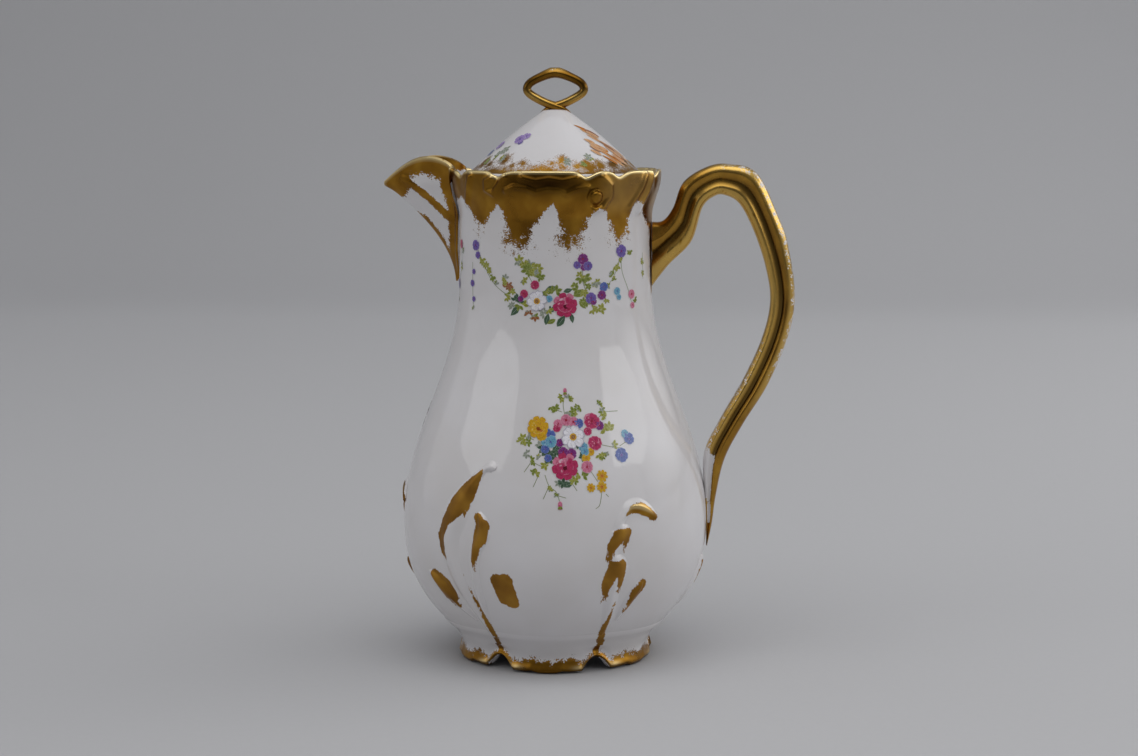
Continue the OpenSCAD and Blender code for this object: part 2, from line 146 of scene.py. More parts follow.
def beak_half(z):
    """Half the width of the opening that the beak is luted over."""
    return beak_w / 2 * np.clip((z - neck_z) / (rim_z - neck_z), 0, 1) ** 0.8


def beak_angle(z):
    return np.degrees(np.arcsin(beak_half(z) / neck_r))


# Dips of the rim between its curls, in degrees from the front
RIM_DIPS = [-57, -27, 22.5, 42, 74]


def crest(a):
    """Height of the waved rim."""
    dip = np.maximum.reduce([hill(from_front(a) - b, 4.6) for b in RIM_DIPS])
    return rim_z + rim_dip * (0.3 - dip)


def roll(z):
    """How far the border has turned out from the neck."""
    return (rim_r - neck_r) * ease((z - border_z) / (rim_z - border_z) * 1.18 - 0.06)


def to_line(points, line):
    """Distance from points to a line of stops, less the half width that each stop ends with."""
    points = np.asarray(points, float)
    best = np.full(points.shape[:-1], 1e9)
    for p, q in zip(line[:-1], line[1:]):
        p, q = np.asarray(p, float), np.asarray(q, float)
        run = q[:-1] - p[:-1]
        t = np.clip(((points - p[:-1]) @ run) / max(run @ run, TINY), 0, 1)
        gap = np.linalg.norm(points - p[:-1] - t[..., None] * run, axis=-1)
        best = np.minimum(best, gap - mix(p[-1], q[-1], t))
    return best


def bead(points, line, width, tall):
    """Height of a rounded ridge along a line of stops."""
    return tall * hill(to_line(points, [(*q, 0) for q in line]), width)


# Millimetres round the rim in one degree
RIM_MM = 0.75
# Moulded scrolls of the border: width, height of the ridge, and degrees from the front with heights
RIM_SCROLLS = [
    (1.25, 1.08, [(31, 204.5), (35.5, 201), (36.5, 196.5), (33, 192.2), (28, 191.2)]),
    (1.25, 0.945, [(22.5, 200.5), (16, 199.6), (11, 197.8), (7, 199.3), (1, 199.6), (-5, 198.4), (-10, 200),
     (-17, 200.6), (-22, 199)]),
    (1.25, 0.81, [(-12, 204.4), (-5, 203), (2, 204), (9, 203), (16, 204.3)]),
    (1.125, 1.215, [(-23, 204.5), (-26.5, 201), (-30.5, 197.6), (-34.5, 199.3), (-34, 203), (-31, 204)]),
    (1.5, 1.485, [(60, 205), (56.5, 199), (51, 192)]),
    (1.625, 1.215, [(67, 205), (64.5, 198), (60, 190)]),
    (1.375, 1.08, [(-46, 204.5), (-49, 199), (-54, 193)])]
# The moulded ball between two scrolls, in a ring-shaped hollow: degrees, height, radius, how proud
BALL_AT, BALL_Z, BALL_R, BALL_PROUD = 28, 196.4, 2.7, 1.7
# The scrolls have faded out this many degrees from the front, before the beak and the handle
SCROLLS_END = 80


def relief(a, z):
    """Scrolls, the ball and the folds under the dips of the moulded border."""
    b = from_front(a)
    flat = np.stack([b * RIM_MM, np.broadcast_to(z, b.shape)], -1)
    h = np.zeros(b.shape)
    for width, tall, stops in RIM_SCROLLS:
        h = np.maximum(h, bead(flat, [(at * RIM_MM, up) for at, up in stops], width, tall))
    off = np.hypot(flat[..., 0] - BALL_AT * RIM_MM, flat[..., 1] - BALL_Z)
    h = h + BALL_PROUD * np.sqrt(np.clip(1 - (off / BALL_R) ** 2, 0, 1)) - 0.5 * hill(off - 3.4, 0.6)
    for at in RIM_DIPS:
        h = h - 0.9 * hill(b - at, 3.6) * np.clip((z - 197) / 9, 0, 1)
    return h * np.clip((z - border_z) / 4, 0, 1) * np.clip((SCROLLS_END - np.abs(b)) / 6, 0, 1)


def outer(a, z):
    """Outer radius of the pot with its border."""
    return skin(a, np.minimum(z, border_z)) + np.where(z > border_z, roll(z) + relief(a, z), waist(z))


# Meshes


def clear():
    bpy.context.tool_settings.mesh_select_mode = (True, False, False)
    bpy.ops.object.select_all(action="DESELECT")


def close_up(merge=True, caps=False):
    """Merges the active piece's points that meet, caps its open ends and turns its faces outwards."""
    bpy.ops.object.mode_set(mode="EDIT")
    bpy.ops.mesh.select_all(action="SELECT")
    if merge:
        bpy.ops.mesh.remove_doubles(threshold=MEET)
    if caps:
        bpy.ops.mesh.select_all(action="DESELECT")
        bpy.ops.mesh.select_mode(type="EDGE")
        bpy.ops.mesh.select_non_manifold(extend=False, use_wire=False, use_multi_face=False,
                                         use_non_contiguous=False, use_verts=False)
        bpy.ops.mesh.edge_face_add()
        bpy.ops.mesh.select_mode(type="VERT")
        bpy.ops.mesh.select_all(action="SELECT")
    bpy.ops.mesh.normals_make_consistent(inside=False)
    bpy.ops.object.mode_set(mode="OBJECT")


def lattice(name, points, merge=True, caps=False):
    """A grid primitive of as many rows and columns as points has, laid out on them."""
    clear()
    rows, columns = points.shape[:2]
    bpy.ops.mesh.primitive_grid_add(x_subdivisions=columns - 1, y_subdivisions=rows - 1, size=1)
    piece = bpy.context.object
    piece.name = piece.data.name = name
    flat = np.zeros(rows * columns * 3)
    piece.data.vertices.foreach_get("co", flat)
    flat = flat.reshape(-1, 3)
    order = np.lexsort((flat[:, 0].round(6), flat[:, 1].round(6)))
    flat[order] = points.reshape(-1, 3) * MM
    piece.data.vertices.foreach_set("co", flat.ravel())
    piece.data.update()
    close_up(merge, caps)
    bpy.ops.object.shade_smooth_by_angle(angle=math.radians(40))
    return piece


def turned(name, profile, steps):
    """A profile of radius and height, drawn by extruding one point and then spun about the axis."""
    clear()
    bpy.ops.mesh.primitive_circle_add(vertices=3, radius=0.001)
    piece = bpy.context.object
    piece.name = piece.data.name = name
    bpy.ops.object.mode_set(mode="EDIT")
    bpy.ops.mesh.select_all(action="SELECT")
    bpy.ops.mesh.merge(type="CENTER")
    bpy.ops.transform.translate(value=(profile[0][0] * MM, 0, profile[0][1] * MM))
    for p, q in zip(profile[:-1], profile[1:]):
        bpy.ops.mesh.extrude_region_move(
            TRANSFORM_OT_translate={"value": ((q[0] - p[0]) * MM, 0, (q[1] - p[1]) * MM)})
    bpy.ops.mesh.select_all(action="SELECT")
    bpy.ops.mesh.spin(steps=steps, angle=2 * math.pi, center=(0, 0, 0), axis=(0, 0, 1))
    close_up()
    bpy.ops.object.shade_smooth_by_angle(angle=math.radians(50))
    return piece


def places(piece):
    """Points of a piece in millimetres."""
    flat = np.zeros(len(piece.data.vertices) * 3)
    piece.data.vertices.foreach_get("co", flat)
    return flat.reshape(-1, 3) / MM


def by_place(p, known_at, values, other):
    """For each point, the value known at its place, because merging changes the points' order."""
    known = {tuple(q): v for q, v in zip(known_at.reshape(-1, 3).round(3), values)}
    return np.array([known.get(tuple(q), other) for q in p.round(3)])


def mark(piece, name, values):
    """Keeps a value of every point, such as how deep inside the gilding it lies."""
    kept = piece.data.attributes.new(name, "FLOAT", "POINT")
    kept.data.foreach_set("value", np.asarray(values, np.float32))


def joined(name, pieces):
    """Makes one piece of several."""
    clear()
    for piece in pieces:
        piece.select_set(True)
    bpy.context.view_layer.objects.active = pieces[0]
    bpy.ops.object.join()
    piece = bpy.context.object
    piece.name = piece.data.name = name
    return piece


def through(p, steps, loop=False):
    """Smooth curve through a list of points, with so many steps between each two."""
    p = np.asarray(p, float)
    n = len(p)
    out = []
    for i in range(n if loop else n - 1):
        a, b, c, d = ([p[(i + k) % n] for k in (-1, 0, 1, 2)] if loop
                      else [p[min(n - 1, max(0, i + k))] for k in (-1, 0, 1, 2)])
        for k in range(steps):
            t = k / steps
            out.append(b + (c - a) * t / 2 + (2 * a - 5 * b + 4 * c - d) * t * t / 2
                       + (3 * b - a - 3 * c + d) * t ** 3 / 2)
    if not loop:
        out.append(p[-1])
    return np.array(out)


# Gilding. A gilt value is the distance inside the gilded place, as a share of how ragged its edge is.

# Gilt values of bare porcelain: outside, and in the lining and under the foot
UNGILT, LINING = -9.0, -6.0

# Lower edge of the sponged gold under the rim: degrees from the front, height
LACE = [
    (-90, 188), (-74, 194), (-58, 196), (-53, 192.2), (-48.8, 186.8), (-43.9, 183.8), (-38.3, 186.5),
    (-33.6, 190.8), (-29.1, 193.4), (-26, 190.5), (-24.7, 184), (-23.5, 177), (-20, 175.2), (-15, 175.8),
    (-10.6, 177.4), (-9, 182), (-4.4, 188), (0.4, 191.4), (4.2, 194), (6.3, 191.6), (7.6, 184.2),
    (8.6, 177.2), (12.4, 175.7), (18.2, 177), (21.7, 181.8), (23.7, 186.4), (27.2, 190), (31.2, 191.6),
    (35.1, 191), (38, 186.1), (39.6, 180.4), (44.3, 178.9), (48.8, 181), (51.8, 186.4), (54, 192.6),
    (58.1, 195), (63, 192.6), (69.5, 187), (78, 182), (84, 174), (90, 168)]

# Brush strokes on the moulded leaves: degrees past the groove, height, half width
PLUME_STROKES = [
    [(6.5, 87, 0.5), (3.2, 82.4, 2.2), (0.3, 77.3, 3.5), (-3.2, 72.1, 3.6), (-7.6, 65.8, 2.2),
     (-10.5, 58.8, 1.9), (-9.6, 53.1, 1.6), (-7.4, 48.9, 0.6)],
    [(0.5, 75.7, 2.2), (0.4, 72.5, 1.8), (-0.1, 68.9, 0.6)],
    [(6, 68.8, 1.6), (8, 65, 2.9), (7.3, 60.4, 2.8), (5.8, 56.9, 1.7), (4.8, 51, 1.1), (4.9, 46.4, 0.4)],
    [(-15.7, 41.8, 2), (-11.8, 38, 3), (-9, 33.5, 2.2), (-7.6, 29.5, 0.8)],
    [(-16.2, 38, 1.4), (-13, 32.6, 1.8), (-10, 28, 0.6)],
    [(13.4, 43, 2.6), (15.6, 34.8, 2.6)],
    [(16.6, 43, 2.8), (18.4, 33.6, 2.6)],
    [(0, 3, 1.7), (2.4, 6, 1.4), (2.4, 15.6, 1.2), (3.3, 21.4, 1.1), (3.3, 27.3, 0.9), (2.4, 31, 0.8),
     (0.1, 41, 0.5), (-1.6, 47, 0.2)]]
SCROLL_STROKES = [
    [(1.8, 70.1, 0.7), (4.4, 71.9, 1.7), (7.8, 71.9, 2.1), (11.2, 69.5, 1.6), (13.3, 67.6, 1.6)],
    [(2.3, 62.9, 1.5), (-1.3, 62, 2.3), (-4.4, 57.4, 1.7), (-5.8, 51.3, 0.5)],
    [(1.9, 62.5, 1.5), (1, 58.5, 1.3), (0.3, 54.9, 0.4)],
    [(0.4, 49.9, 1.3), (-3.1, 48.6, 2.5), (-5.7, 42, 1.8), (-6.5, 33.1, 0.5)],
    [(-0.4, 49.6, 1.8), (-0.3, 43.6, 1.6), (-0.3, 37.5, 0.3)],
    [(9.5, 40, 1.9), (7.6, 37, 2.1), (5.6, 32.6, 1.4), (4.1, 27.7, 0.4)],
    [(0, 3, 1.7), (1.3, 6.6, 1.5), (-0.6, 14.4, 1.4), (-2.2, 20.5, 1.1), (-1.7, 28.4, 0.5), (-0.6, 34, 0.2)]]
HANDLE_STROKES = [
    [(-14.5, 31.4, 0.4), (-10.5, 37.6, 1.5), (-9.2, 42, 1)],
    [(0, 3, 1.6), (0.4, 15, 1.2), (0, 22, 0.8), (0, 28, 0.2)]]
STROKES_AT = {-120: PLUME_STROKES, 120: PLUME_STROKES, -60: SCROLL_STROKES, 60: SCROLL_STROKES,
              180: SCROLL_STROKES, 0: HANDLE_STROKES}
STROKES_TOP = 95
# The gold has spread this much wider than the strokes were measured
SPREAD = 1.22
# Gold on the wall round the handle's upper root: x, y, height, radius
HANDLE_ROOT = [(41, 0, 187, 8.5), (41, 0, 172, 7.5), (42, 0, 160, 5.5)]
# The brush leaves a clean side, and frays into streaks where it was lifted
BRUSH_RAGGED, BRUSH_FRAYED, FRAYED_FOR = 0.45, 1.7, 6


def brushed(p):
    """Gilt value of the brush strokes low on the pot."""
    best = np.full(len(p), UNGILT)
    near = p[:, 2] < STROKES_TOP
    for groove, strokes in STROKES_AT.items():
        for stroke in strokes:
            stops = []
            for off, z, half in stroke:
                stops.append([*polar(skin(groove + off, z) + 0.9, groove + off, z), half * SPREAD])
            lifted = np.clip(1 - np.linalg.norm(p[near] - stops[-1][:3], axis=1) / FRAYED_FOR, 0, 1)
            lifted = lifted * (stroke[-1][2] < 1)
            ragged = mix(BRUSH_RAGGED, BRUSH_FRAYED, lifted)
            best[near] = np.maximum(best[near], -to_line(p[near], stops) / ragged)
    return best


def groove_line(a, r, aside=0):
    """Gilt value of the line, 3 mm wide, that is drawn down each groove onto the foot."""
    return (1.5 - np.abs(from_groove(a) - aside) / RADIAN * r) / 0.5


def gilt_on_wall(p, lip_deep):
    """Gilt value of the wall and its border. The lip turns into the lining lip_deep from its outside."""
    a, r, z = azimuth(p), radius(p), p[:, 2]
    b = from_front(a)
    lace = np.interp(b, [q[0] for q in LACE], [q[1] for q in LACE])
    high = z > neck_z
    gap = np.zeros(len(p))
    gap[high] = to_line(np.stack([b * RIM_MM, z], -1)[high], [(q[0] * RIM_MM, q[1], 0) for q in LACE])
    # The sponge broke up where the gold reaches down the neck
    ragged = mix(1, 6.5, np.clip((190 - z) / 12, 0, 1))
    gilt = np.where(high, np.sign(z - lace) * gap / ragged, UNGILT)
    gilt = np.maximum(gilt, brushed(p))
    gilt = np.where(z < foot_h + 3, np.maximum(gilt, groove_line(a, r, 1)), gilt)
    seam = (np.abs((a - BEAK + 180) % 360 - 180) - beak_angle(z)) / RADIAN * r
    gilt = np.where(z > neck_z - 2, np.maximum(gilt, (0.35 - seam) / 0.4), gilt)
    gilt = np.maximum(gilt, -to_line(p, HANDLE_ROOT) / 1.8)
    lip_from = crest(a) - lip_round
    inside = (r < outer(a, np.minimum(z, lip_from)) - lip_deep) & (z <= lip_from - 0.1)
    gilt = np.where(inside, np.where(z > seat_z, (z - crest(a) + 1.6) / 0.7, LINING), gilt)
    # The gold is rubbed off the very top of the crest
    top = z - crest(a) + 0.25
    return np.where(top > 0, np.minimum(gilt, 0.9 - 1.5 * top), gilt)


def foot_edge(a):
    """Lower edge of the foot: bracket shaped lobes that stand on their middles, with a pointed
    notch between each two."""
    off = np.abs(from_groove(a))
    notch = notch_h * (1 - np.clip(off / notch_half, 0, 1) ** 2) ** 1.25
    bracket = 0.5 * np.clip((25 - off) / 4, 0, 1) + 0.25 * hill(off - 21, 2.2)
    return np.maximum(notch, bracket)


def gilt_on_foot(p):
    """Gilt value of the foot: a band that frays upwards, with the notches' own edges left white."""
    a, r, z = azimuth(p), radius(p), p[:, 2]
    up = z - foot_edge(a)
    # The band is 2.6 mm wide at a notch and 5.2 mm on a lobe
    band = mix(2.6, 5.2, ease((np.abs(from_groove(a)) - 5) / 9)) + 0.6 * sind(18 * a + 40)
    white_edge = np.where(foot_edge(a) > 1, (up - 0.2) / 0.3, 9)
    gilt = np.maximum(np.minimum((band - up) / 2.4, white_edge), groove_line(a, r))
    gilt = np.maximum(gilt, brushed(p))
    under = r < skin(a, foot_h) - 2.6
    return np.where(under, LINING, gilt)


def beak_lip(p):
    """Height of the beak's lip over each point, by the distance in front of the axis."""
    return np.interp(-p[:, 0], [34, 38, 45.7, 49.1, 55.5, 60.6, 66.2, 73.2],
                     [206.6, 206.8, 208.4, 210, 211.6, 210.4, 207.5, 201.2])


# Width of the gold under the beak's lip and beside its seams
BEAK_BAND, SEAM_BAND = 6.6, 4
# Gold on the beak's flanks: how ragged its edge is, then x, height and half width of each stop
BEAK_STROKES = [
    (1.2, [(-73, 201, 7), (-68, 202, 7.5)]),
    (0.5, [(-63, 202.5, 1.4), (-54.4, 196.2, 1.6), (-43, 186, 1.8)]),
    (0.8, [(-59, 189, 0.3), (-55.7, 185.4, 2), (-50.6, 177.9, 3), (-45, 163, 5)])]


def gilt_on_beak(p):
    """Gilt value of the beak's outside: along its lip, down its flanks and beside its seams."""
    gilt = (BEAK_BAND - (beak_lip(p) - p[:, 2])) / 2.2
    for ragged, stops in BEAK_STROKES:
        gilt = np.maximum(gilt, -to_line(p[:, [0, 2]], stops) / ragged)
    past_seam = radius(p) - neck_r - roll(p[:, 2])
    return np.maximum(gilt, (SEAM_BAND - past_seam) / 0.9)


# Pieces of porcelain


def round_pot(columns):
    """Makes rows of points from seam to seam, or all round below the beak."""
    j = np.arange(columns + 1) / columns

    def angles(z):
        return BEAK + beak_angle(z) + j * (360 - 2 * beak_angle(z))

    def row(r, z):
        z = np.broadcast_to(np.asarray(z, float), j.shape)
        a = angles(z)
        return polar(r(a, z), a, z)
    return angles, row


def make_wall():
    """Pear shaped wall: floor, outer face up to the border, and lining."""
    _, row = round_pot(300)
    # The lining turns into the floor below 22 mm, and the outer face is finer where the foot joins it
    turn_z, fine_z = 22.0, 24
    floor_z = foot_h + floor_t
    rows = [row(lambda a, z, k=k: skin(a, z) * k, foot_h) for k in (0, 0.5, 0.85)]
    rows += [row(outer, foot_h + (fine_z - foot_h) * t ** 1.2) for t in np.arange(18) / 18]
    rows += [row(outer, z) for z in np.linspace(fine_z, border_z, 128)]
    rows += [row(lambda a, z: skin(a, z) - wall, z) for z in np.linspace(border_z, turn_z, 30)]
    for t in (0.35, 0.7, 1):
        rows.append(row(lambda a, _: (skin(a, turn_z) - wall) * (1 - 0.06 * t ** 3), mix(turn_z, floor_z, t)))
    rows += [row(lambda a, z, k=k: (skin(a, turn_z) - wall) * k, floor_z) for k in (0.5, 0)]
    piece = lattice("pot_wall", np.stack(rows), caps=True)
    p = places(piece)
    mark(piece, "gilt", gilt_on_wall(p, 1.5))
    # The gold is matt low down and burnished at the neck
    mark(piece, "matt", 1 - ease((p[:, 2] - 120) / 66))
    return piece


def make_rim():
    """Moulded border with a rolled, dipped lip, down to the bore that the lid drops into."""
    angles, row = round_pot(600)
    bore_z = 200
    top = crest(angles(np.full(601, float(rim_z)))) - lip_round
    edge = outer(angles(top + lip_round), top)
    rows = [row(outer, mix(border_z, top, t)) for t in np.linspace(0, 1, 52)]
    for turn in np.linspace(0, 180, 11)[1:]:
        rows.append(row(lambda a, _: edge - lip_round * (1 - cosd(turn)), top + lip_round * sind(turn)))
    for t in np.linspace(0, 1, 7)[1:]:
        rows.append(row(lambda a, _: mix(edge - 2 * lip_round, mouth_r, ease(t)), mix(top, bore_z, t)))
    for t in np.linspace(0, 1, 6)[1:]:
        rows.append(row(lambda a, z: mix(mouth_r, skin(a, z) - wall, t), mix(bore_z, border_z, t)))
    rows.append(rows[0])
    rim = lattice("rim_scrolls", np.stack(rows), caps=True)
    p = places(rim)
    mark(rim, "gilt", gilt_on_wall(p, 2.2))
    # Painted shade: the gold is painted darker in the hollow under the crest, most at the front
    b, under = from_front(azimuth(p)), crest(azimuth(p)) - p[:, 2]
    mark(rim, "painted_shade", hill(under - 5, 5) * (0.2 + 0.8 * hill(b - 2, 26)))
    # Painted highlight: the gold is painted pale along the crest, and a little lighter all over the border to
    # the right of the front, as if lit from there
    bright = np.clip(1 - np.abs(under - 0.5) / 1.1, 0, 1) * (radius(p) > mouth_r + 1)
    right = ease((b - 26) / 14) * ease((p[:, 2] - border_z) / 9)
    mark(rim, "painted_highlight", bright + 0.1 * right * (1 - bright))
    return rim


def make_foot():
    """Foot ring: six bracket shaped lobes with a gilt edge that turns out a little."""
    a = np.linspace(0, 360, 721)
    low = foot_edge(a)
    rise = foot_h - low
    from_notch = np.abs(from_groove(a)) - notch_half
    base = foot_r - flute(a, 0.0) + 0.5 * hill(from_notch - 1, 4)
    top = skin(a, float(foot_h))
    edge_round = 0.75
    rows = []
    for turn in (180, 150, 120, 90, 60, 30, 0):
        rows.append(polar(base - edge_round + edge_round * cosd(turn), a,
                          low + edge_round - edge_round * sind(turn)))
    for t in np.linspace(0.06, 1, 22):
        z = low + edge_round + (rise - edge_round) * t
        flare = 0.5 * hill(t, 0.2) - foot_cove * sind(180 * t) ** 2
        rows.append(polar(mix(base, top, t) + flare + waist(z), a, z))
    # The inside of the ring, and the land that it stands on
    rows.append(polar(top - foot_wall, a, foot_h))
    rows.append(polar(base - foot_wall, a, low + rise * 0.4))
    rows.append(polar(base - foot_wall + 0.7, a, low + 0.7))
    rows.append(polar(base - foot_land - 0.7, a, low + 0.05))
    rows.append(rows[0])
    foot = lattice("foot_ring", np.stack(rows))
    p = places(foot)
    mark(foot, "gilt", gilt_on_foot(p))
    # Painted highlights at the notches' corners, and painted shade along the lower edge
    up = p[:, 2] - foot_edge(azimuth(p))
    corner = hill(np.abs(from_groove(azimuth(p))) - notch_half - 2, 3.5)
    mark(foot, "painted_highlight", 0.55 * corner * hill(up - 1.6, 0.9))
    mark(foot, "painted_shade", 0.7 * hill(up, 0.7))
    return foot


def beak_grid(s, v):
    """Face of the beak: s runs from seam to seam over the keel, v from the bottom to the lip."""
    u = 1 - np.abs(s)
    seam_top = crest(np.array([BEAK + beak_angle(rim_z)]))[0]
    lip = mix(seam_top, beak_tip_z, u) + lip_rise * sind(180 * u)
    z = mix(neck_z + 0.5, lip, v)
    # The luted seam is closed: the flank runs a little into the wall
    a = np.degrees(np.arcsin((beak_half(z) + seam_sunk) / neck_r))
    keel = mix(neck_r + seam_proud, beak_reach,
               np.clip((z - neck_z) / (beak_tip_z - neck_z), 0, 1) ** 1.85)
    r = skin(BEAK + a, np.minimum(z, border_z)) + roll(z) * np.abs(s) ** 10
    return np.stack([-mix(r * cosd(a), keel, u), np.sign(s) * r * sind(a) * np.abs(s) ** 0.78, z], -1)


def make_beak():
    """Open beak with a rolled lip, a raised rib on each flank and beads down its two seams."""
    s = np.concatenate([-np.linspace(1, 0, 42)[:-1], [0], np.linspace(0, 1, 42)[1:]])
    v = np.linspace(0, 1, 56)[:, None]
    face = beak_grid(s[None, :], v)
    normal = np.cross(np.gradient(face, axis=0), np.gradient(face, axis=1))
    normal /= np.maximum(np.linalg.norm(normal, axis=-1, keepdims=True), TINY)
    seam = np.minimum(np.linalg.norm(face - face[:, :1], axis=-1),
                      np.linalg.norm(face - face[:, -1:], axis=-1))
    swell = seam_proud * hill(seam - 0.6, 1.1) * ease(v / 0.3)
    rib = bead(face[..., [0, 2]], [(-64, 203.5), (-54.4, 196.2), (-43, 186)], 1.5, 0.7)
    lip = 0.8 * hill((1 - v) * 40, 2.2)
    outside = face + normal * np.maximum(np.maximum(swell, rib), lip)[..., None]
    outside[..., 0] = np.maximum(outside[..., 0], -beak_reach)
    thick = 1.3 + 1.2 * np.clip((1 - v) * 6, 0, 1)
    inside = face - normal * thick[..., None]
    lip_top = (outside[-1] + inside[-1]) / 2 + np.array([0, 0, 0.7])
    rows = np.concatenate([outside, lip_top[None], inside[::-1], outside[:1]])
    beak = lattice("beak_spout", rows, caps=True)
    p = places(beak)
    hidden = by_place(p, inside, [True] * inside[..., 0].size, False)
    mark(beak, "gilt", np.where(hidden, (1.4 - (beak_lip(p) - p[:, 2])) / 0.7, gilt_on_beak(p)))
    # A painted highlight: the crest of the lip is painted pale
    crest_rows = rows[len(v) - 2:len(v) + 1]
    mark(beak, "painted_highlight", by_place(p, crest_rows, np.repeat((0.3, 0.9, 0.6), len(s)), 0.0))
    return beak


# Outer and inner edge of the handle in pairs, from the neck to its tail: x, z, x, z
HANDLE_EDGES = [
    (41, 185, 41, 158), (45.5, 185.6, 48, 167), (49.6, 191, 57.5, 177), (54, 201.8, 62, 191),
    (64, 208.2, 67, 195.8), (73, 209.3, 71.5, 196.2), (84, 206, 77.6, 192.4), (92, 191.5, 83.6, 181),
    (98.5, 172.5, 88.6, 166), (101, 153, 90.6, 152), (98, 136, 87.6, 137), (90, 116.5, 79.8, 119),
    (80, 100, 70, 101.5), (72.3, 85, 63.4, 87), (68.6, 69, 63.6, 71), (67, 57, 64.4, 58),
    (65, 47, 64.6, 47.4)]


def make_handle():
    """Loop handle: a round rib on each edge, a channel down each side and a fluted upper root."""
    line = through(HANDLE_EDGES, 9)
    turns = np.linspace(0, 360, 41)
    # Across the section, depth is -1 at the inner edge and 1 at the outer one
    depth = np.sign(cosd(turns)) * np.abs(cosd(turns)) ** 0.8
    full = np.sign(sind(turns)) * np.abs(sind(turns)) ** 0.55
    groove = 2 * channel / handle_t * hill(depth + 0.08, 0.3)
    outer_rib, inner_rib = ease((depth - 0.35) / 0.4), ease((-0.2 - depth) / 0.4)
    rows, gilt, painted_shade, painted_highlight = [], [], [], []
    for i, (x_out, z_out, x_in, z_in) in enumerate(line):
        f = i / (len(line) - 1)
        root = (root_t - handle_t) * max(1 - f * 8, 0)
        tail = 0.6 * handle_t * float(ease((f - 0.72) / 0.28))
        half = (handle_t + root - tail) / 2
        fan = 0.16 * np.clip(1 - f / 0.16, 0, 1) * (0.5 - 0.5 * np.cos(3 * np.pi * (depth + 1)))
        knuckle = 0.45 * hill(f - 0.475, 0.015) * np.clip(depth, 0, 1)
        p = np.stack([mix(x_in, x_out, (1 + depth) / 2) + knuckle, half * full * (1 - groove - fan),
                      mix(z_in, z_out, (1 + depth) / 2)], -1)
        # The luted ends follow the wall
        seat = skin(azimuth(p), np.minimum(p[:, 2], border_z)) - 0.1
        short = radius(p) < seat
        p[short, 0] = np.sqrt(seat[short] ** 2 - p[short, 1] ** 2)
        rows.append(p)
        # The hand has worn the gold off the outer rib, the fingers off the inner one, and a patch and
        # a slot at the tail are bare
        handled = float(ease((f - 0.2) / 0.12) * ease((0.76 - f) / 0.1))
        gripped = float(ease((f - 0.55) / 0.1) * ease((0.86 - f) / 0.05))
        worn = 2.3 * ease((depth - 0.36) / 0.4) * handled + 2.2 * ease((-0.4 - depth) / 0.3) * gripped
        patch = float(ease((f - 0.795) / 0.03) * ease((0.9 - f) / 0.02)) * ease((0.3 - depth) / 0.35)
        slot = float(ease(1.6 - abs(f - 0.918) / 0.021)) * ease(1.7 - np.abs(depth + 0.1) / 0.35)
        gilt.append(2.6 - worn - 4.4 * patch - 4.4 * slot)
        # Painted shade darkens the gold down each channel, and painted highlights make the ribs pale, the
        # outer rib where the hand holds it
        dark = np.exp(-(((depth + 0.08) / 0.26) ** 4)) * np.clip((0.9 - f) / 0.05, 0, 1)
        painted_shade.append(0.92 * dark * (1 - 0.3 * hill(f - 0.3, 0.1)))
        painted_highlight.append(0.5 * outer_rib * handled + 0.42 * inner_rib + 0.08)
    handle = lattice("loop_handle", np.stack(rows), merge=False)
    clear()
    bpy.context.view_layer.objects.active = handle
    handle.select_set(True)
    close_up(caps=True)
    marks = np.stack([np.concatenate(kept) for kept in (gilt, painted_shade, painted_highlight)], -1)
    kept = by_place(places(handle), np.stack(rows), marks, (2.0, 0.0, 0.0))
    for i, name in enumerate(("gilt", "painted_shade", "painted_highlight")):
        mark(handle, name, kept[:, i])
    return handle


# Moulded ribs: degrees past the groove, height, half width, height above the wall as a share
PLUME = [
    [(1, 17, 1.2, 0.5), (0.5, 27, 2, 0.7), (-3, 38, 2.6, 0.8), (-6, 50, 3.2, 0.9), (-6.5, 60, 4.2, 1),
     (-3.5, 70, 4.8, 1), (0.8, 79, 3, 1), (4.5, 84.5, 1.6, 0.8), (7.2, 87.6, 1.2, 0.8), (9.8, 88.9, 1.8, 1),
     (11.8, 88.2, 0.8, 0.5)],
    [(4.2, 22, 0.9, 0.4), (4.6, 32, 1.6, 0.7), (4.2, 44, 1.8, 0.8), (5.2, 54, 2, 0.9), (8.4, 62, 2.6, 1),
     (8, 67, 2, 1), (6.3, 70.5, 0.8, 0.5)]]
SIDE_LEAF = [(-2.6, 22.5, 0.7, 0.4), (-7.5, 29, 1.8, 0.8), (-12.5, 35, 2.6, 0.9), (-16.5, 40, 1.9, 0.9),
             (-18.8, 43, 0.8, 0.5)]
SCROLL = [
    [(-1.5, 17, 1.1, 0.5), (-2.2, 27, 2.2, 0.7), (-3, 38, 2.8, 0.8), (-1.6, 48.5, 3.4, 1), (-4, 54, 2.2, 0.7),
     (-0.8, 62.5, 3.4, 1), (-1, 67, 1.6, 0.7), (2.4, 72.2, 2, 0.9), (6.2, 73, 2.4, 1), (10.5, 70.8, 2, 0.9),
     (14, 67.4, 1.2, 0.6)],
    [(2.6, 24, 0.8, 0.4), (5, 32, 1.7, 0.8), (7.8, 38.6, 1.9, 1), (9, 41.5, 0.9, 0.6)]]
SHORT = [
    [(0, 17, 1.1, 0.5), (0.6, 25, 2.1, 0.8), (0.2, 33, 2.6, 0.9), (0, 41, 1, 0.5)],
    [(-17, 25, 0.7, 0.4), (-15, 30.5, 1.8, 0.8), (-11.6, 36.5, 2.5, 0.9), (-9.4, 41.5, 2, 0.9),
     (-8.6, 45, 0.8, 0.5)]]
# Each rib is this much wider than its measured ridge, because it fades into the wall
FADE = 1.45


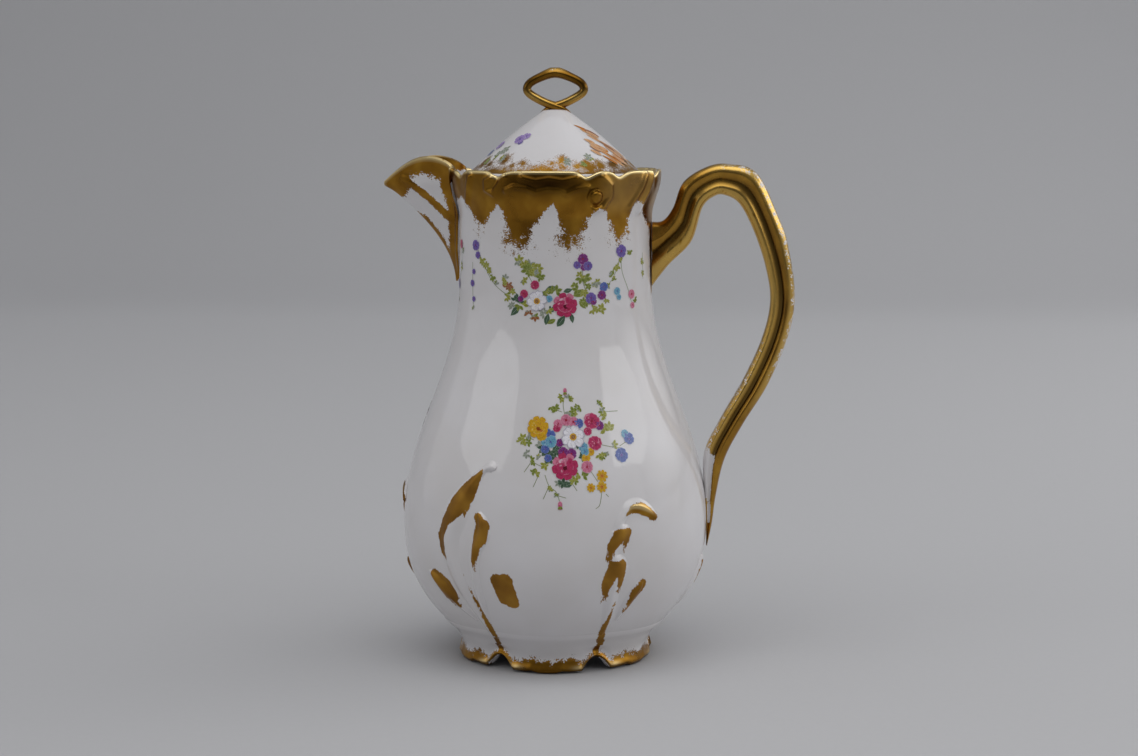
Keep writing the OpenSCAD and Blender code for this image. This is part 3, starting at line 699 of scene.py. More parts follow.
def rib_points(groove, stops):
    """A swelling that rises out of the wall with no edge, along its stops."""
    line = through(stops, 8)
    run = np.gradient(line[:, :2] * [1 / 1.05, 1], axis=0)
    across = np.linspace(-1, 1, 17)
    rows = []
    for (off, up, half, share), way in zip(line, run):
        per_mm = RADIAN / float(belly(up))
        way = np.array([way[0] / per_mm, way[1]])
        way /= max(np.linalg.norm(way), TINY)
        a = groove + off + across * (half * FADE) * way[1] * per_mm
        z = up - across * (half * FADE) * way[0]
        tall = leaf_proud * share * np.cos(across * np.pi / 2) ** 1.6 - 0.06
        rows.append(polar(skin(a, z) + tall, a, z))
    under = [polar(radius(r) - 0.6, azimuth(r), r[:, 2]) for r in rows]
    closed = [np.concatenate([r, u[::-1], r[:1]]) for r, u in zip(rows, under)]
    return pointed(closed)


def pointed(rings):
    """Rings of points, drawn together to one point at each end."""
    first, last = (np.broadcast_to(ring.mean(0), ring.shape) for ring in (rings[0], rings[-1]))
    return np.stack([first] + rings + [last])


def make_leaves(name, groove, ribs):
    """A moulded leaf or scroll of one groove."""
    leaves = joined(name, [lattice(f"{name}_{i}", rib_points(groove, stops)) for i, stops in enumerate(ribs)])
    p = places(leaves)
    mark(leaves, "gilt", brushed(p))
    # The hook of a scroll stands proud and its gold is burnished, with a painted highlight on its back
    proud = ease((radius(p) - skin(azimuth(p), p[:, 2]) - 1.0) / 0.6)
    hook = ease((p[:, 2] - 67) / 2) * (ribs is SCROLL)
    mark(leaves, "painted_highlight", 0.5 * proud * hook)
    mark(leaves, "matt", 1 - hook)
    return leaves


def lid_height(r):
    """Height of the lid's cone at a radius."""
    t = np.clip((lid_cone_r - r) / (lid_cone_r - apex_r), 0, 1)
    return lid_z + lid_edge + (lid_h - lid_edge) * t + 1.3 * sind(180 * t)


# Sponged spots of worn gold near the lid's edge: degrees from the front, height, size
LID_SPOTS = [(-65, 209.7, 3.4), (-52, 209, 2.4), (-39, 211.4, 3), (-28, 208.8, 1.6), (-19.8, 209.8, 2.2),
             (-4, 208.6, 1.2), (1.3, 210.1, 1.6), (10.6, 211.4, 2.6), (10.6, 208.6, 2), (21, 209, 2.2),
             (29.5, 208.9, 3.6), (40, 209.2, 3), (52, 208.8, 2.8), (70, 210, 3.4), (84, 209, 3)]


def make_lid():
    """Lid: a cone with a rounded edge, hollow underneath, with worn gold along its border."""
    inner = mouth_r - seat_w - collar_play - collar_t
    radii = np.linspace(lid_cone_r, apex_r, 40)
    profile = [(inner, lid_z), (lid_r - 0.6, lid_z), (lid_r - 0.18, lid_z + 0.18), (lid_r, lid_z + 0.6),
               (lid_r - 0.2, lid_z + 2), (lid_r - 0.6, lid_z + 2.4)]
    profile += [(r, float(lid_height(r))) for r in radii]
    profile += [(apex_r * k, apex_z + 0.5 * (1 - k * k)) for k in (0.75, 0.5, 0.25)] + [(0, apex_z + 0.5)]
    profile += [(0, apex_z - 5.2), (apex_r, apex_z - 5.2), (inner, lid_z + 3.4), (inner, lid_z)]
    lid = turned("lid_cone", profile, 160)
    p = places(lid)
    a, up = azimuth(p), p[:, 2] - lid_z
    best = (2.2 - (up - lid_edge) / 1.5) / 1.4 + 0.6 * sind(7 * a + 30) * sind(3 * a)
    best = np.maximum(best, -2.2)
    for side in (0, 180):
        for at, z, size in LID_SPOTS:
            spot = polar(np.interp(z, lid_height(radii), radii), at + side + FRONT, z)
            best = np.maximum(best, (size * 1.3 - np.linalg.norm(p - spot, axis=1)) / 1.8)
    under_loop = to_line(p, [(-5, 0, apex_z, 1.6), (5, 0, apex_z, 1.6)])
    mark(lid, "gilt", np.maximum(np.where(up > 2.2, best, LINING), -under_loop / 0.9))
    return lid


# Right half of the loop, as shares of its width and height, and one of the two tails that cross
# under it: x, y, height, radius
FINIAL_HALF = [(0.1, 0.12), (0.5, 0.24), (0.87, 0.42), (0.84, 0.6), (0.5, 0.75), (0, 0.86)]
TAIL = [(5, 0, 3.6, 1.6), (1, 0.5, 2, 1.7), (-3, 0.8, 0.5, 1.4), (-6.2, 0.7, -1.4, 0.7)]


def make_finial():
    """Loop of a cord of porcelain whose ends cross at the bottom, with a leaf at its peak."""
    half = [(x * finial_w / 2, z * finial_h) for x, z in FINIAL_HALF]
    line = through(half + [(-x, z) for x, z in half[-2::-1]], 10, loop=True)
    turns = np.linspace(0, 360, 25)
    rows = []
    for p, ahead in zip(line, np.roll(line, -1, axis=0)):
        run = (ahead - p) / np.linalg.norm(ahead - p)
        out = np.array([run[1], -run[0]])
        peak = hill(p[0], 4.8) if p[1] > finial_h / 2 else 0
        leaf = np.clip(cosd(turns), 0, 1) * peak
        q = p + out * (cosd(turns) * finial_t / 2 * (1 + 0.2 * peak + 0.15 * leaf))[:, None]
        y = sind(turns) * finial_t / 2 * (1.1 + 0.5 * peak - 0.4 * leaf)
        rows.append(np.stack([q[:, 0], y, np.clip(q[:, 1], -0.4, finial_h - 0.35) + apex_z], -1))
    pieces = [lattice("finial_loop", np.stack(rows + rows[:1]))]
    for side in (-1, 1):
        path = through([(x * side, y * side, z, r) for x, y, z, r in TAIL], 6)
        rings = []
        for k, q in enumerate(path):
            way = path[min(k + 1, len(path) - 1)] - path[max(k - 1, 0)]
            way = way[:3] / np.linalg.norm(way[:3])
            up = np.cross(way, [0, 1, 0])
            rings.append(q[:3] + np.array([0, 0, apex_z]) + q[3] * (
                cosd(turns)[:, None] * up + sind(turns)[:, None] * np.array([0, 1, 0])))
        pieces.append(lattice(f"finial_tail_{side}", pointed(rings)))
    finial = joined("finial_loop", pieces)
    p = places(finial)
    up = p[:, 2] - apex_z
    mark(finial, "gilt", 2.4 - 1.7 * hill(up - 17, 2.6) - 1.2 * hill(up + 0.6, 1.4))
    # Painted shade on the front of the loop's upper arms, and painted highlights low on the loop and at its
    # peak
    mark(finial, "painted_shade", 0.7 * hill(up - 11, 4.5) * (p[:, 1] < -0.4))
    mark(finial, "painted_highlight", 0.45 * hill(up - 5.5, 2.6) + 0.35 * hill(up - 17.6, 1.2))
    return finial


# Colours and materials


def linear(code):
    """An sRGB hex colour as the linear red, green, blue and alpha that a socket takes."""
    parts = [int(code[i:i + 2], 16) / 255 for i in (1, 3, 5)]
    return [c / 12.92 if c <= 0.04045 else ((c + 0.055) / 1.055) ** 2.4 for c in parts] + [1]


def add(tree, kind, inputs=(), **settings):
    """Adds a shader node: its settings, and a value or a link for each input, by name or number."""
    made = tree.nodes.new("ShaderNode" + kind)
    for name, value in settings.items():
        setattr(made, name, value)
    for key, value in dict(inputs).items():
        if isinstance(value, bpy.types.NodeSocket):
            tree.links.new(value, made.inputs[key])
        else:
            made.inputs[key].default_value = value
    return made


GLAZE, GLAZE_WARM = linear("#E3E1E3"), linear("#DDDADA")
GOLD_DARK, GOLD, GOLD_PALE = linear("#7C541A"), linear("#996D24"), linear("#B68932")
# Painted shade for the gold's hollows, a painted highlight for its crests, and a warmer painted highlight for
# the handle and the finial
GOLD_PAINTED_SHADE, GOLD_PAINTED_HIGHLIGHT, GOLD_WARMER_PAINTED_HIGHLIGHT = linear("#33200A"), linear("#F6E0A6"), linear("#F0CC74")
DAYLIGHT, ROOM_LIGHT = linear("#FFFFFF"), linear("#F4F5F8")
# How far across, in millimetres, the marks of each surface are
SPONGE_MM, PORE_MM, STROKE_MM, CLOUD_MM, PEEL_MM = 3.0, 0.7, 9.0, 25, 6
SCUFF_MM, POOL_MM, FIBRE_MM = 9, 0.5, 3
GLAZE_IOR = 1.5


def new_material(name):
    """An empty material and its node tree."""
    made = bpy.data.materials.new(name)
    made.use_nodes = True
    made.node_tree.nodes.clear()
    return made, made.node_tree


def speckle(tree, where, size_mm, detail, rough):
    """Noise round zero, of about one unit each way, whose grains are size_mm across."""
    noise = add(tree, "TexNoise", {"Vector": where, "Scale": 1 / (size_mm * MM), "Detail": detail,
                                   "Roughness": rough}).outputs["Fac"]
    return add(tree, "MapRange", {0: noise, 1: 0.28, 2: 0.72, 3: -1.0, 4: 1.0}, clamp=False).outputs[0]


def glaze_and_gold(name, grain=1.0, burnish=0.3, thin=0.22, highlight_paint=GOLD_PAINTED_HIGHLIGHT):
    """Glazed hard porcelain with brushed gold fired on it. The clear glaze gives sharp window
    reflections on a white body; the gold is a satin brown film that breaks into sponged specks
    towards its edges. Painted shade darkens the gold in its hollows, and painted highlights make
    it pale on its crests and ribs."""
    made, tree = new_material(name)
    where = add(tree, "TexCoord").outputs["Object"]
    gilt, painted_shade, painted_highlight, matt = (add(tree, "Attribute", attribute_name=kept).outputs["Fac"]
                                 for kept in ("gilt", "painted_shade", "painted_highlight", "matt"))
    # The clumps and pores of the sponge break the film up; where the gold was brushed on, low on
    # the wall, they are drawn out upwards
    clumps = speckle(tree, where, SPONGE_MM * grain, 3, 0.6)
    pull = add(tree, "MapRange", {0: matt, 3: 1.0, 4: 0.3}).outputs[0]
    drawn = add(tree, "CombineXYZ", {0: 1.0, 1: 1.0, 2: pull})
    along = add(tree, "VectorMath", {0: where, 1: drawn.outputs[0]}, operation="MULTIPLY")
    pores = speckle(tree, along.outputs[0], PORE_MM * grain, 2, 0.6)
    broken = add(tree, "Math", {0: clumps, 1: pores}, operation="ADD").outputs[0]
    broken = add(tree, "Math", {0: broken, 1: 0.62, 2: gilt}, operation="MULTIPLY_ADD").outputs[0]
    film = add(tree, "MapRange", {0: broken, 1: -0.1, 2: thin}).outputs[0]
    # The body has a faint cloudy warmth
    cloud = speckle(tree, where, CLOUD_MM, 2, 0.5)
    warm = add(tree, "MapRange", {0: cloud, 1: -1.0}).outputs[0]
    white = add(tree, "Mix", {0: warm, 6: GLAZE, 7: GLAZE_WARM}, data_type="RGBA").outputs[2]
    # Strokes of the brush go from thin brown to full gold and on to pale
    streaks = speckle(tree, where, STROKE_MM, 2, 0.45)
    full = add(tree, "MapRange", {0: streaks, 1: -1.3, 2: 0.0}).outputs[0]
    pale = add(tree, "MapRange", {0: streaks, 1: 0.0, 2: 1.3}).outputs[0]
    gold = GOLD_DARK
    # Painted shade darkens the gold, and a painted highlight lightens it, as much as their marks say
    for share, tone in ((full, GOLD), (pale, GOLD_PALE), (painted_shade, GOLD_PAINTED_SHADE), (painted_highlight, highlight_paint)):
        gold = add(tree, "Mix", {0: share, 6: gold, 7: tone}, data_type="RGBA").outputs[2]
    colour = add(tree, "Mix", {0: film, 6: white, 7: gold}, data_type="RGBA").outputs[2]
    # Low on the wall the gold is left matt as it came from the kiln; elsewhere it is burnished
    dull = add(tree, "MapRange", {0: matt, 4: 0.22}).outputs[0]
    worn = add(tree, "Math", {0: streaks, 1: 0.05, 2: dull}, operation="MULTIPLY_ADD").outputs[0]
    worn = add(tree, "Math", {0: worn, 1: burnish}, operation="ADD").outputs[0]
    rough = add(tree, "Mix", {0: film, 2: 0.07, 3: worn}).outputs[0]
    bright = add(tree, "MapRange", {0: matt, 3: 1.0, 4: 0.75}).outputs[0]
    metal = add(tree, "Math", {0: film, 1: bright}, operation="MULTIPLY").outputs[0]
    # The glaze has a slight orange peel, and the gold lies on it as a thin step
    peel = add(tree, "TexNoise", {"Vector": where, "Scale": 1 / (PEEL_MM * MM), "Detail": 1.0})
    step = add(tree, "Math", {0: film, 1: 0.12, 2: peel.outputs["Fac"]}, operation="MULTIPLY_ADD")
    bump = add(tree, "Bump", {"Height": step.outputs[0], "Strength": 0.5, "Distance": 0.0001})
    glaze = add(tree, "BsdfPrincipled", {"Base Color": colour, "Metallic": metal, "Roughness": rough,
                                         "IOR": GLAZE_IOR, "Normal": bump.outputs[0]})
    add(tree, "OutputMaterial", {"Surface": glaze.outputs[0]})
    return made


def plain_glaze(name):
    """Clear glazed porcelain of the ledge and the collar, a little duller where the lid rubs."""
    made, tree = new_material(name)
    where = add(tree, "TexCoord").outputs["Object"]
    scuffs = speckle(tree, where, SCUFF_MM, 3, 0.5)
    warm = add(tree, "MapRange", {0: scuffs, 1: -1.0}).outputs[0]
    white = add(tree, "Mix", {0: warm, 6: GLAZE, 7: GLAZE_WARM}, data_type="RGBA").outputs[2]
    dull = add(tree, "MapRange", {0: scuffs, 1: -1.0, 3: 0.1, 4: 0.3}).outputs[0]
    glaze = add(tree, "BsdfPrincipled", {"Base Color": white, "Roughness": dull, "IOR": GLAZE_IOR})
    add(tree, "OutputMaterial", {"Surface": glaze.outputs[0]})
    return made


def enamel(name):
    """Overglaze enamel, painted by hand: each petal shades from a deep heart to a pale edge, and
    the colour pools in fine uneven grains. It is as glossy as the glaze."""
    made, tree = new_material(name)
    where = add(tree, "TexCoord").outputs["Object"]
    paint = add(tree, "Attribute", attribute_name="paint").outputs["Color"]
    pooled = speckle(tree, where, POOL_MM, 2, 0.6)
    shade = add(tree, "Math", {0: pooled, 1: 0.16, 2: 1.0}, operation="MULTIPLY_ADD").outputs[0]
    colour = add(tree, "VectorMath", {0: paint, "Scale": shade}, operation="SCALE").outputs[0]
    dull = add(tree, "MapRange", {0: pooled, 1: -1.0, 3: 0.08, 4: 0.2}).outputs[0]
    glaze = add(tree, "BsdfPrincipled", {"Base Color": colour, "Roughness": dull, "IOR": GLAZE_IOR})
    add(tree, "OutputMaterial", {"Surface": glaze.outputs[0]})
    return made


def dress(piece, material, body, *nodes):
    """Gives a piece its finish and its body, and hides the CAD nodes that it stands for."""
    piece.data.materials.clear()
    piece.data.materials.append(material)
    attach(piece, body)
    if nodes:
        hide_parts(*nodes)


# Painted flowers, laid on the glaze petal by petal. Each paint is its heart, its body and its pale edge.

PAINT = {
    "magenta": ("#6E1038", "#B5325F", "#D488A4"), "crimson": ("#5E0A20", "#A3223F", "#C0506C"),
    "pink": ("#A63A5C", "#CE7894", "#E2B4C2"), "pale_pink": ("#C98A9C", "#DDB4C2", "#E0D0DA"),
    "violet": ("#3E2C72", "#6E5AA4", "#A79CC8"), "lilac": ("#6E5496", "#9C84C0", "#C4B6D8"),
    "purple": ("#4A1450", "#7C2F78", "#B080B0"), "blue": ("#2C3C7E", "#5568AC", "#9AA8D0"),
    "teal": ("#2E6E90", "#6CA4C0", "#B2CEDC"), "yellow": ("#A06A08", "#D2A21E", "#E0C66A"),
    "orange": ("#8E4410", "#C67A2C", "#D8A868"), "pale_orange": ("#B87A44", "#D4A478", "#DCC2A8"),
    "white": ("#D8D4DC", "#EAE8EE", "#A9A4B8"), "olive": ("#4C5A1E", "#7E8A38", "#B4BA84"),
    "lime": ("#6C7222", "#9C9E44", "#C2C296"), "dark": ("#23382C", "#48604A", "#8A9C8C"),
    "brown": ("#6A3A1E", "#9A6440", "#C4A48C"), "grey": ("#6E7468", "#9AA092", "#C2C6BE")}
# Foliage: sprays of leaflets, each kind named as its paint, and single leaves with the paint of each
SPRAYS = ("olive", "lime", "dark", "brown", "grey")
SINGLE_LEAVES = {"leaf": "olive", "dark_leaf": "dark"}
# Roses: paint of the depth, of the bowl and of the folds, and the lightest stroke
ROSES = {"rose": ("crimson", "magenta", "pink", "#E3B2C2"),
         "yellow_rose": ("orange", "yellow", "yellow", "#EBD67C")}
# Blossoms of five petals: paint of the heart and of the light strokes; how full, notched, and
# large in the heart they are
FULL_BLOSSOM, SMALL_BLOSSOM = (1.2, 0.1, 0.22), (1.1, 0.08, 0.2)
BLOSSOMS = {
    "pink": ("crimson", "pink", FULL_BLOSSOM), "magenta": ("crimson", "pink", FULL_BLOSSOM),
    "yellow": ("orange", "yellow", FULL_BLOSSOM), "violet": ("purple", "violet", SMALL_BLOSSOM),
    "lilac": ("violet", "lilac", SMALL_BLOSSOM), "purple": ("crimson", "purple", SMALL_BLOSSOM),
    "blue": ("violet", "blue", SMALL_BLOSSOM), "teal": ("blue", "teal", SMALL_BLOSSOM)}
# Outlines of a unit long: a leaf, its vein, and a leaflet of a spray
LEAF = [(-1, 0), (-0.6, 0.34), (-0.1, 0.5), (0.4, 0.36), (1, 0), (0.4, -0.36), (-0.1, -0.5), (-0.6, -0.34)]
VEIN = [(-0.8, 0.0), (0.1, 0.05), (0.8, 0.0), (0.1, -0.05)]
LEAFLET = [(0, 0), (0.4, 0.28), (0.75, 0.24), (1.05, 0), (0.75, -0.24), (0.4, -0.28)]


def spun(outline, way, size):
    """A flat outline, made so large and turned so far."""
    c, s = cosd(way), sind(way)
    return [(size * (u * c - v * s), size * (u * s + v * c)) for u, v in outline]


class Enamels:
    """Petals and stems that are laid one over another on a surface."""

    def __init__(self, on, seed):
        self.on, self.corners, self.faces, self.paints = on, [], [], []
        self.lift, self.random = 0.03, np.random.default_rng(seed)

    def lay(self, at, outline, tones, heart=(0, 0)):
        """A patch with its outline in millimetres round a place, shaded from its heart."""
        n = len(outline)
        outline = np.asarray(outline, float)
        heart = np.asarray(heart, float)
        self.lift += 0.004
        start = len(self.corners)
        rings = [heart[None]] + [heart + (outline - heart) * k for k in (0.5, 0.86, 1)]
        for ring, tone in zip(rings, (tones[0], tones[1], tones[1], tones[2])):
            colour = np.array(linear(tone))
            for x, y in ring:
                self.corners.append((at[0], at[1], x, y, self.lift))
                wash = 1 + 0.24 * (self.random.random() - 0.5)
                self.paints.append([*np.clip(colour[:3] * wash, 0, 1), 1])
        for k in range(n):
            k1 = (k + 1) % n
            self.faces.append((start, start + 1 + k, start + 1 + k1))
            for low in (start + 1, start + 1 + n):
                self.faces.append((low + k, low + n + k, low + n + k1, low + k1))

    def petal(self, at, x, y, long, wide, turn, tones, notch=0.0, heart=-0.35):
        """An oval petal whose foot is at x, y and which points along turn."""
        c, s = cosd(turn), sind(turn)
        flat = []
        for w in np.linspace(0, 360, 13)[:-1]:
            u = 0.5 + 0.5 * cosd(w)
            v = 0.5 * sind(w) * (0.55 + 0.45 * u) * wide
            u = u * (1 - notch * hill(min(w, 360 - w), 22)) * long
            flat.append((x + u * c - v * s, y + u * s + v * c))
        mid = 0.5 + heart
        self.lay(at, flat, tones, (x + mid * long * c, y + mid * long * s))

    def stem(self, stops, tone, width=0.28):
        """A fine line through places on the surface."""
        line = through(stops, 5)
        self.lift = 0.03
        start = len(self.corners)
        for q, way in zip(line, np.gradient(line, axis=0)):
            # A degree round the pot is taken as 0.8 mm
            way = np.array([way[0] * 0.8, way[1]])
            way /= max(np.linalg.norm(way), TINY)
            for side in (-0.5, 0.5):
                self.corners.append((q[0], q[1], -way[1] * side * width, way[0] * side * width, self.lift))
                self.paints.append(linear(tone))
        for low in range(start, start + 2 * len(line) - 2, 2):
            self.faces.append((low, low + 1, low + 3, low + 2))

    def rosette(self, at, size, tones, petals, heart_tones, fill=1.15, notch=0.12, heart_size=0.24):
        """Petals round a heart."""
        turn = self.random.random() * 360
        wide = size * fill * 5.2 / petals * 1.05
        for k in range(petals):
            way = turn + 360 / petals * k + 8 * (self.random.random() - 0.5)
            self.petal(at, 0, 0, size * (0.95 + 0.1 * self.random.random()), wide, way, tones, notch)
        ring = [(size * heart_size * cosd(w), size * heart_size * sind(w)) for w in range(0, 360, 40)]
        self.lay(at, ring, heart_tones)

    def rose(self, at, size, deep, mid, pale):
        """A full rose: outer petals behind, a cupped bowl that is deep low on the right, pale folds
        high."""
        for k, way in enumerate((10, 58, 105, 150, 195, 240, 285, 330)):
            tone = pale if 40 < way < 200 and k % 2 else mid
            self.petal(at, 0.34 * size * cosd(way), 0.34 * size * sind(way), size * 0.7, size * 0.78, way,
                       (PAINT[deep][1], PAINT[tone][1], PAINT[tone][1]), 0.06, -0.1)
        bowl = [(0.66 * size * cosd(w), 0.62 * size * sind(w)) for w in range(0, 360, 24)]
        self.lay(at, bowl, (PAINT[deep][1], PAINT[mid][1], PAINT[mid][2]), (0.12 * size, -0.15 * size))
        for way, far, tone in ((128, 0.5, "pale_pink"), (85, 0.5, pale), (170, 0.46, pale), (45, 0.42, mid),
                               (215, 0.42, mid), (110, 0.2, pale), (320, 0.4, deep), (265, 0.44, mid)):
            self.petal(at, far * 0.35 * size * cosd(way), far * 0.35 * size * sind(way), size * 0.46,
                       size * 0.44, way, (PAINT[deep][1], PAINT[tone][1], PAINT[tone][2]), 0.05, -0.15)
        heart = [(0.08 * size + 0.24 * size * cosd(w), -0.1 * size + 0.22 * size * sind(w))
                 for w in range(0, 360, 36)]
        self.lay(at, heart, (PAINT[deep][0], PAINT[deep][0], PAINT[mid][0]), (0.05 * size, -0.14 * size))
        self.petal(at, -0.22 * size, 0.02 * size, size * 0.4, size * 0.14, 14, PAINT[pale], 0, 0)

    def leaf(self, at, size, tones):
        """A pointed leaf with a paler vein."""
        way = self.random.random() * 360
        self.lay(at, spun(LEAF, way, size), tones, (0.1 * size * cosd(way), 0.1 * size * sind(way)))
        self.lay(at, spun(VEIN, way, size), (tones[2], tones[2], tones[1]))

    def sprig(self, at, size, tones, count=3, turn=None):
        """Leaflets that fan out from one place."""
        middle = self.random.random() * 360 if turn is None else turn
        for k in range(count):
            way = middle + (k - (count - 1) / 2) * 62
            self.lay(at, spun(LEAFLET, way, size), tones, (0.5 * size * cosd(way), 0.5 * size * sind(way)))

    def dabs(self, at, size, light, body, shade, count=3):
        """Soft strokes that melt into the body of a flower, pale high on its left and deep low on
        its right."""
        for tone, middle, number in ((shade, -45, count - 1), (light, 130, count)):
            for _ in range(number):
                way = middle + 120 * (self.random.random() - 0.5)
                far = size * (0.15 + 0.4 * self.random.random())
                self.petal(at, far * cosd(way), far * sind(way), size * 0.7, size * 0.5,
                           way + 70 + 40 * self.random.random(), (tone, body, body), 0, 0)

    def flower(self, kind, at, size):
        """One flower or leaf. Leaves lie lowest, small flowers over them and large ones on top."""
        low = kind in SPRAYS or kind in SINGLE_LEAVES
        self.lift = (0.04 if low else 0.26 if size > 4 else 0.15) + 0.04 * self.random.random()
        if kind in ROSES:
            *tones, light = ROSES[kind]
            self.rose(at, size, *tones)
            self.dabs(at, size * 0.9, light, PAINT[tones[1]][1], PAINT[tones[0]][1], 5)
        elif kind == "daisy":
            self.rosette(at, size, PAINT["white"], 6, PAINT["yellow"], 1.0, 0.1, 0.3)
            self.rosette(at, size * 0.2, PAINT["brown"], 6, PAINT["lime"])
        elif kind == "yellow_daisy":
            self.rosette(at, size, PAINT["yellow"], 8, PAINT["orange"], 1.0, 0.0, 0.3)
        elif kind in BLOSSOMS:
            heart, light, form = BLOSSOMS[kind]
            self.rosette(at, size * 1.05, PAINT[kind], 5, PAINT[heart], *form)
            self.dabs(at, size, PAINT[light][2], PAINT[kind][1], PAINT[kind][0])
        elif kind == "bud":
            self.petal(at, 0, -size * 0.9, size * 2, size * 1.3, 90, PAINT["pink"], 0, -0.2)
            self.petal(at, 0, -size * 0.9, size * 1.2, size * 0.6, 100, PAINT["magenta"], 0, -0.2)
            self.sprig(at, size * 0.9, PAINT["olive"], 2, 270)
        elif kind in SPRAYS:
            for _ in range(3):
                away = size * 0.75 * (self.random.random(2) - 0.5)
                own = self.random.random() < 0.6
                tone = kind if own else ("olive", "lime", "grey")[self.random.integers(3)]
                self.sprig((at[0] + away[0] * 1.3, at[1] + away[1]),
                           size * (0.6 + 0.45 * self.random.random()), PAINT[tone])
        else:
            self.leaf(at, size, PAINT[SINGLE_LEAVES[kind]])

    def make(self, name, material, body):
        """Makes one piece of all that was laid."""
        clear()
        made = bpy.data.meshes.new(name)
        made.from_pydata((self.on(*np.array(self.corners).T) * MM).tolist(), [], self.faces)
        kept = made.color_attributes.new("paint", "FLOAT_COLOR", "POINT")
        kept.data.foreach_set("color", np.asarray(self.paints, np.float32).ravel())
        piece = bpy.data.objects.new(name, made)
        bpy.context.scene.collection.objects.link(piece)
        piece.select_set(True)
        bpy.context.view_layer.objects.active = piece
        bpy.ops.object.shade_smooth()
        dress(piece, material, body)


def on_pot(side):
    """Places on one side of the pot, by degrees from the middle of that side and height."""
    def place(b, z, x, y, lift):
        a = FRONT + side + b + np.degrees(x / skin(FRONT + side + b, z))
        return polar(outer(a, z + y) + lift, a, z + y)
    return place


def on_lid(b, r, x, y, lift):
    """Places on the lid, by degrees from the front and distance from its axis."""
    r = r - y * 0.77
    a = FRONT + b + np.degrees(x / np.maximum(r, 4))
    return polar(r + lift * 0.6, a, lid_height(r) + lift * 0.8)


# Kind, degrees from the middle of the side, height, size
GARLAND = [
    ("lime", -12.5, 169.4, 3.2), ("olive", -10.5, 166.2, 3), ("lime", -7.5, 169.2, 2.8),
    ("olive", -3.2, 163.9, 2.2), ("olive", 4.5, 159.2, 2.6), ("grey", -1.8, 150, 2.2),
    ("olive", 17, 160, 2.6), ("lime", 22, 158, 2.2), ("brown", -22, 161, 2.2), ("grey", -20, 152.6, 2.2),
    ("olive", 27, 151.5, 2.2), ("lime", 37, 160, 1.8), ("lime", -42.1, 170.4, 2.2),
    ("lime", -39.5, 167.8, 1.9), ("lime", -37.1, 165.7, 2), ("olive", -34, 163.3, 1.9),
    ("olive", -30.5, 161, 1.4), ("brown", -24.8, 160.3, 2.6), ("lime", -25, 163.5, 1.9),
    ("brown", -23.5, 155.9, 1.8), ("olive", -20.5, 157.6, 2.2), ("lime", -16.5, 170.3, 2.8),
    ("lime", -9.3, 167.6, 3.1), ("lime", -4.6, 167.2, 2.8), ("lime", -6.5, 165, 2.6),
    ("lime", -12.8, 162.2, 2.2), ("dark_leaf", -18.1, 150.4, 2.9), ("dark", -14.6, 153.3, 2.6),
    ("dark", -17, 155, 2.2), ("dark_leaf", 0.6, 147.4, 2.5), ("leaf", 3, 146.4, 2),
    ("dark_leaf", 8.4, 146.6, 2.9), ("dark_leaf", 14.5, 147.6, 2), ("brown", -6.1, 147.8, 2),
    ("brown", -10.4, 149.6, 1.7), ("dark", 1.7, 152, 2.4), ("dark_leaf", 2.2, 159.5, 2.6),
    ("olive", 0, 158, 2), ("leaf", 19.4, 157.8, 3.2), ("leaf", 20.8, 153, 2.2), ("dark_leaf", 12.4, 158.9, 2),
    ("olive", 22.2, 153.7, 2.2), ("lime", 31.3, 151.5, 2.8), ("lime", 36, 153.8, 1.6),
    ("lime", 19.4, 164.3, 2.4), ("lime", 23.5, 164.7, 2.6), ("olive", 24, 161, 1.8),
    ("lime", 29.6, 162.1, 2.3), ("olive", 39.6, 164.7, 2), ("lime", 43.1, 168.3, 2.1),
    ("olive", 41, 163, 1.5), ("lime", 45.2, 171, 1.4), ("olive", 52.7, 173.7, 1.7),
    ("olive", 57.1, 153.8, 1.6), ("lime", 66.3, 169.1, 2), ("lime", 67, 165, 1.6), ("lime", -66, 167.4, 2),
    ("olive", -63.5, 174, 1.7), ("grey", -73, 153, 1.6), ("grey", -49.4, 150.6, 1.3),
    ("violet", -47.6, 176.4, 2.3), ("violet", -45.7, 172.4, 1.6), ("magenta", -66.5, 176.3, 2),
    ("violet", -74, 159.4, 2.4), ("violet", -51, 160.6, 1.5), ("violet", -49.5, 154.1, 1.2),
    ("violet", -49.6, 165.4, 1.2), ("magenta", -6.4, 161.1, 1.9), ("magenta", -12.8, 157.4, 1.8),
    ("purple", -14.8, 155.4, 1.3), ("daisy", -5.2, 154.6, 4.5), ("teal", 1.7, 155.6, 1.5),
    ("rose", 10.7, 153.1, 5), ("violet", 25.9, 155.7, 2.4), ("purple", 32.8, 156.7, 2),
    ("purple", 27.4, 154.2, 1.5), ("blue", 34.1, 160, 2), ("purple", 21.1, 171.6, 2.3),
    ("violet", 24.1, 168.7, 2), ("violet", 17.6, 169.2, 1.6), ("purple", 21.6, 168.2, 1.4),
    ("violet", 46.2, 174.3, 2.7), ("teal", 43.2, 158, 1.7), ("teal", 44.5, 155.5, 1.2),
    ("pink", 54.5, 156.4, 2), ("pink", 54.9, 151.8, 1.4)]
GARLAND_STEMS = [
    [(-45.7, 174.4), (-40.4, 168.5), (-34.8, 162.5), (-28.2, 158.6), (-20.2, 155.6)], [(-18.3, 171.1),
    (-11.6, 166.3), (-7.5, 161.5)], [(21.1, 169.2), (21.1, 162.3), (24.1, 156.9)], [(31.5, 158),
    (39.6, 162.7), (44.6, 169.9), (46.1, 174.7)], [(46.2, 172.3), (47, 165.7), (51.9, 158.1),
    (54.9, 151.8)], [(-50.9, 169.3), (-51, 157.7), (-49.5, 150)], [(-67, 174), (-66, 167), (-73, 160),
    (-74, 151)], [(66, 173), (67, 162)]]
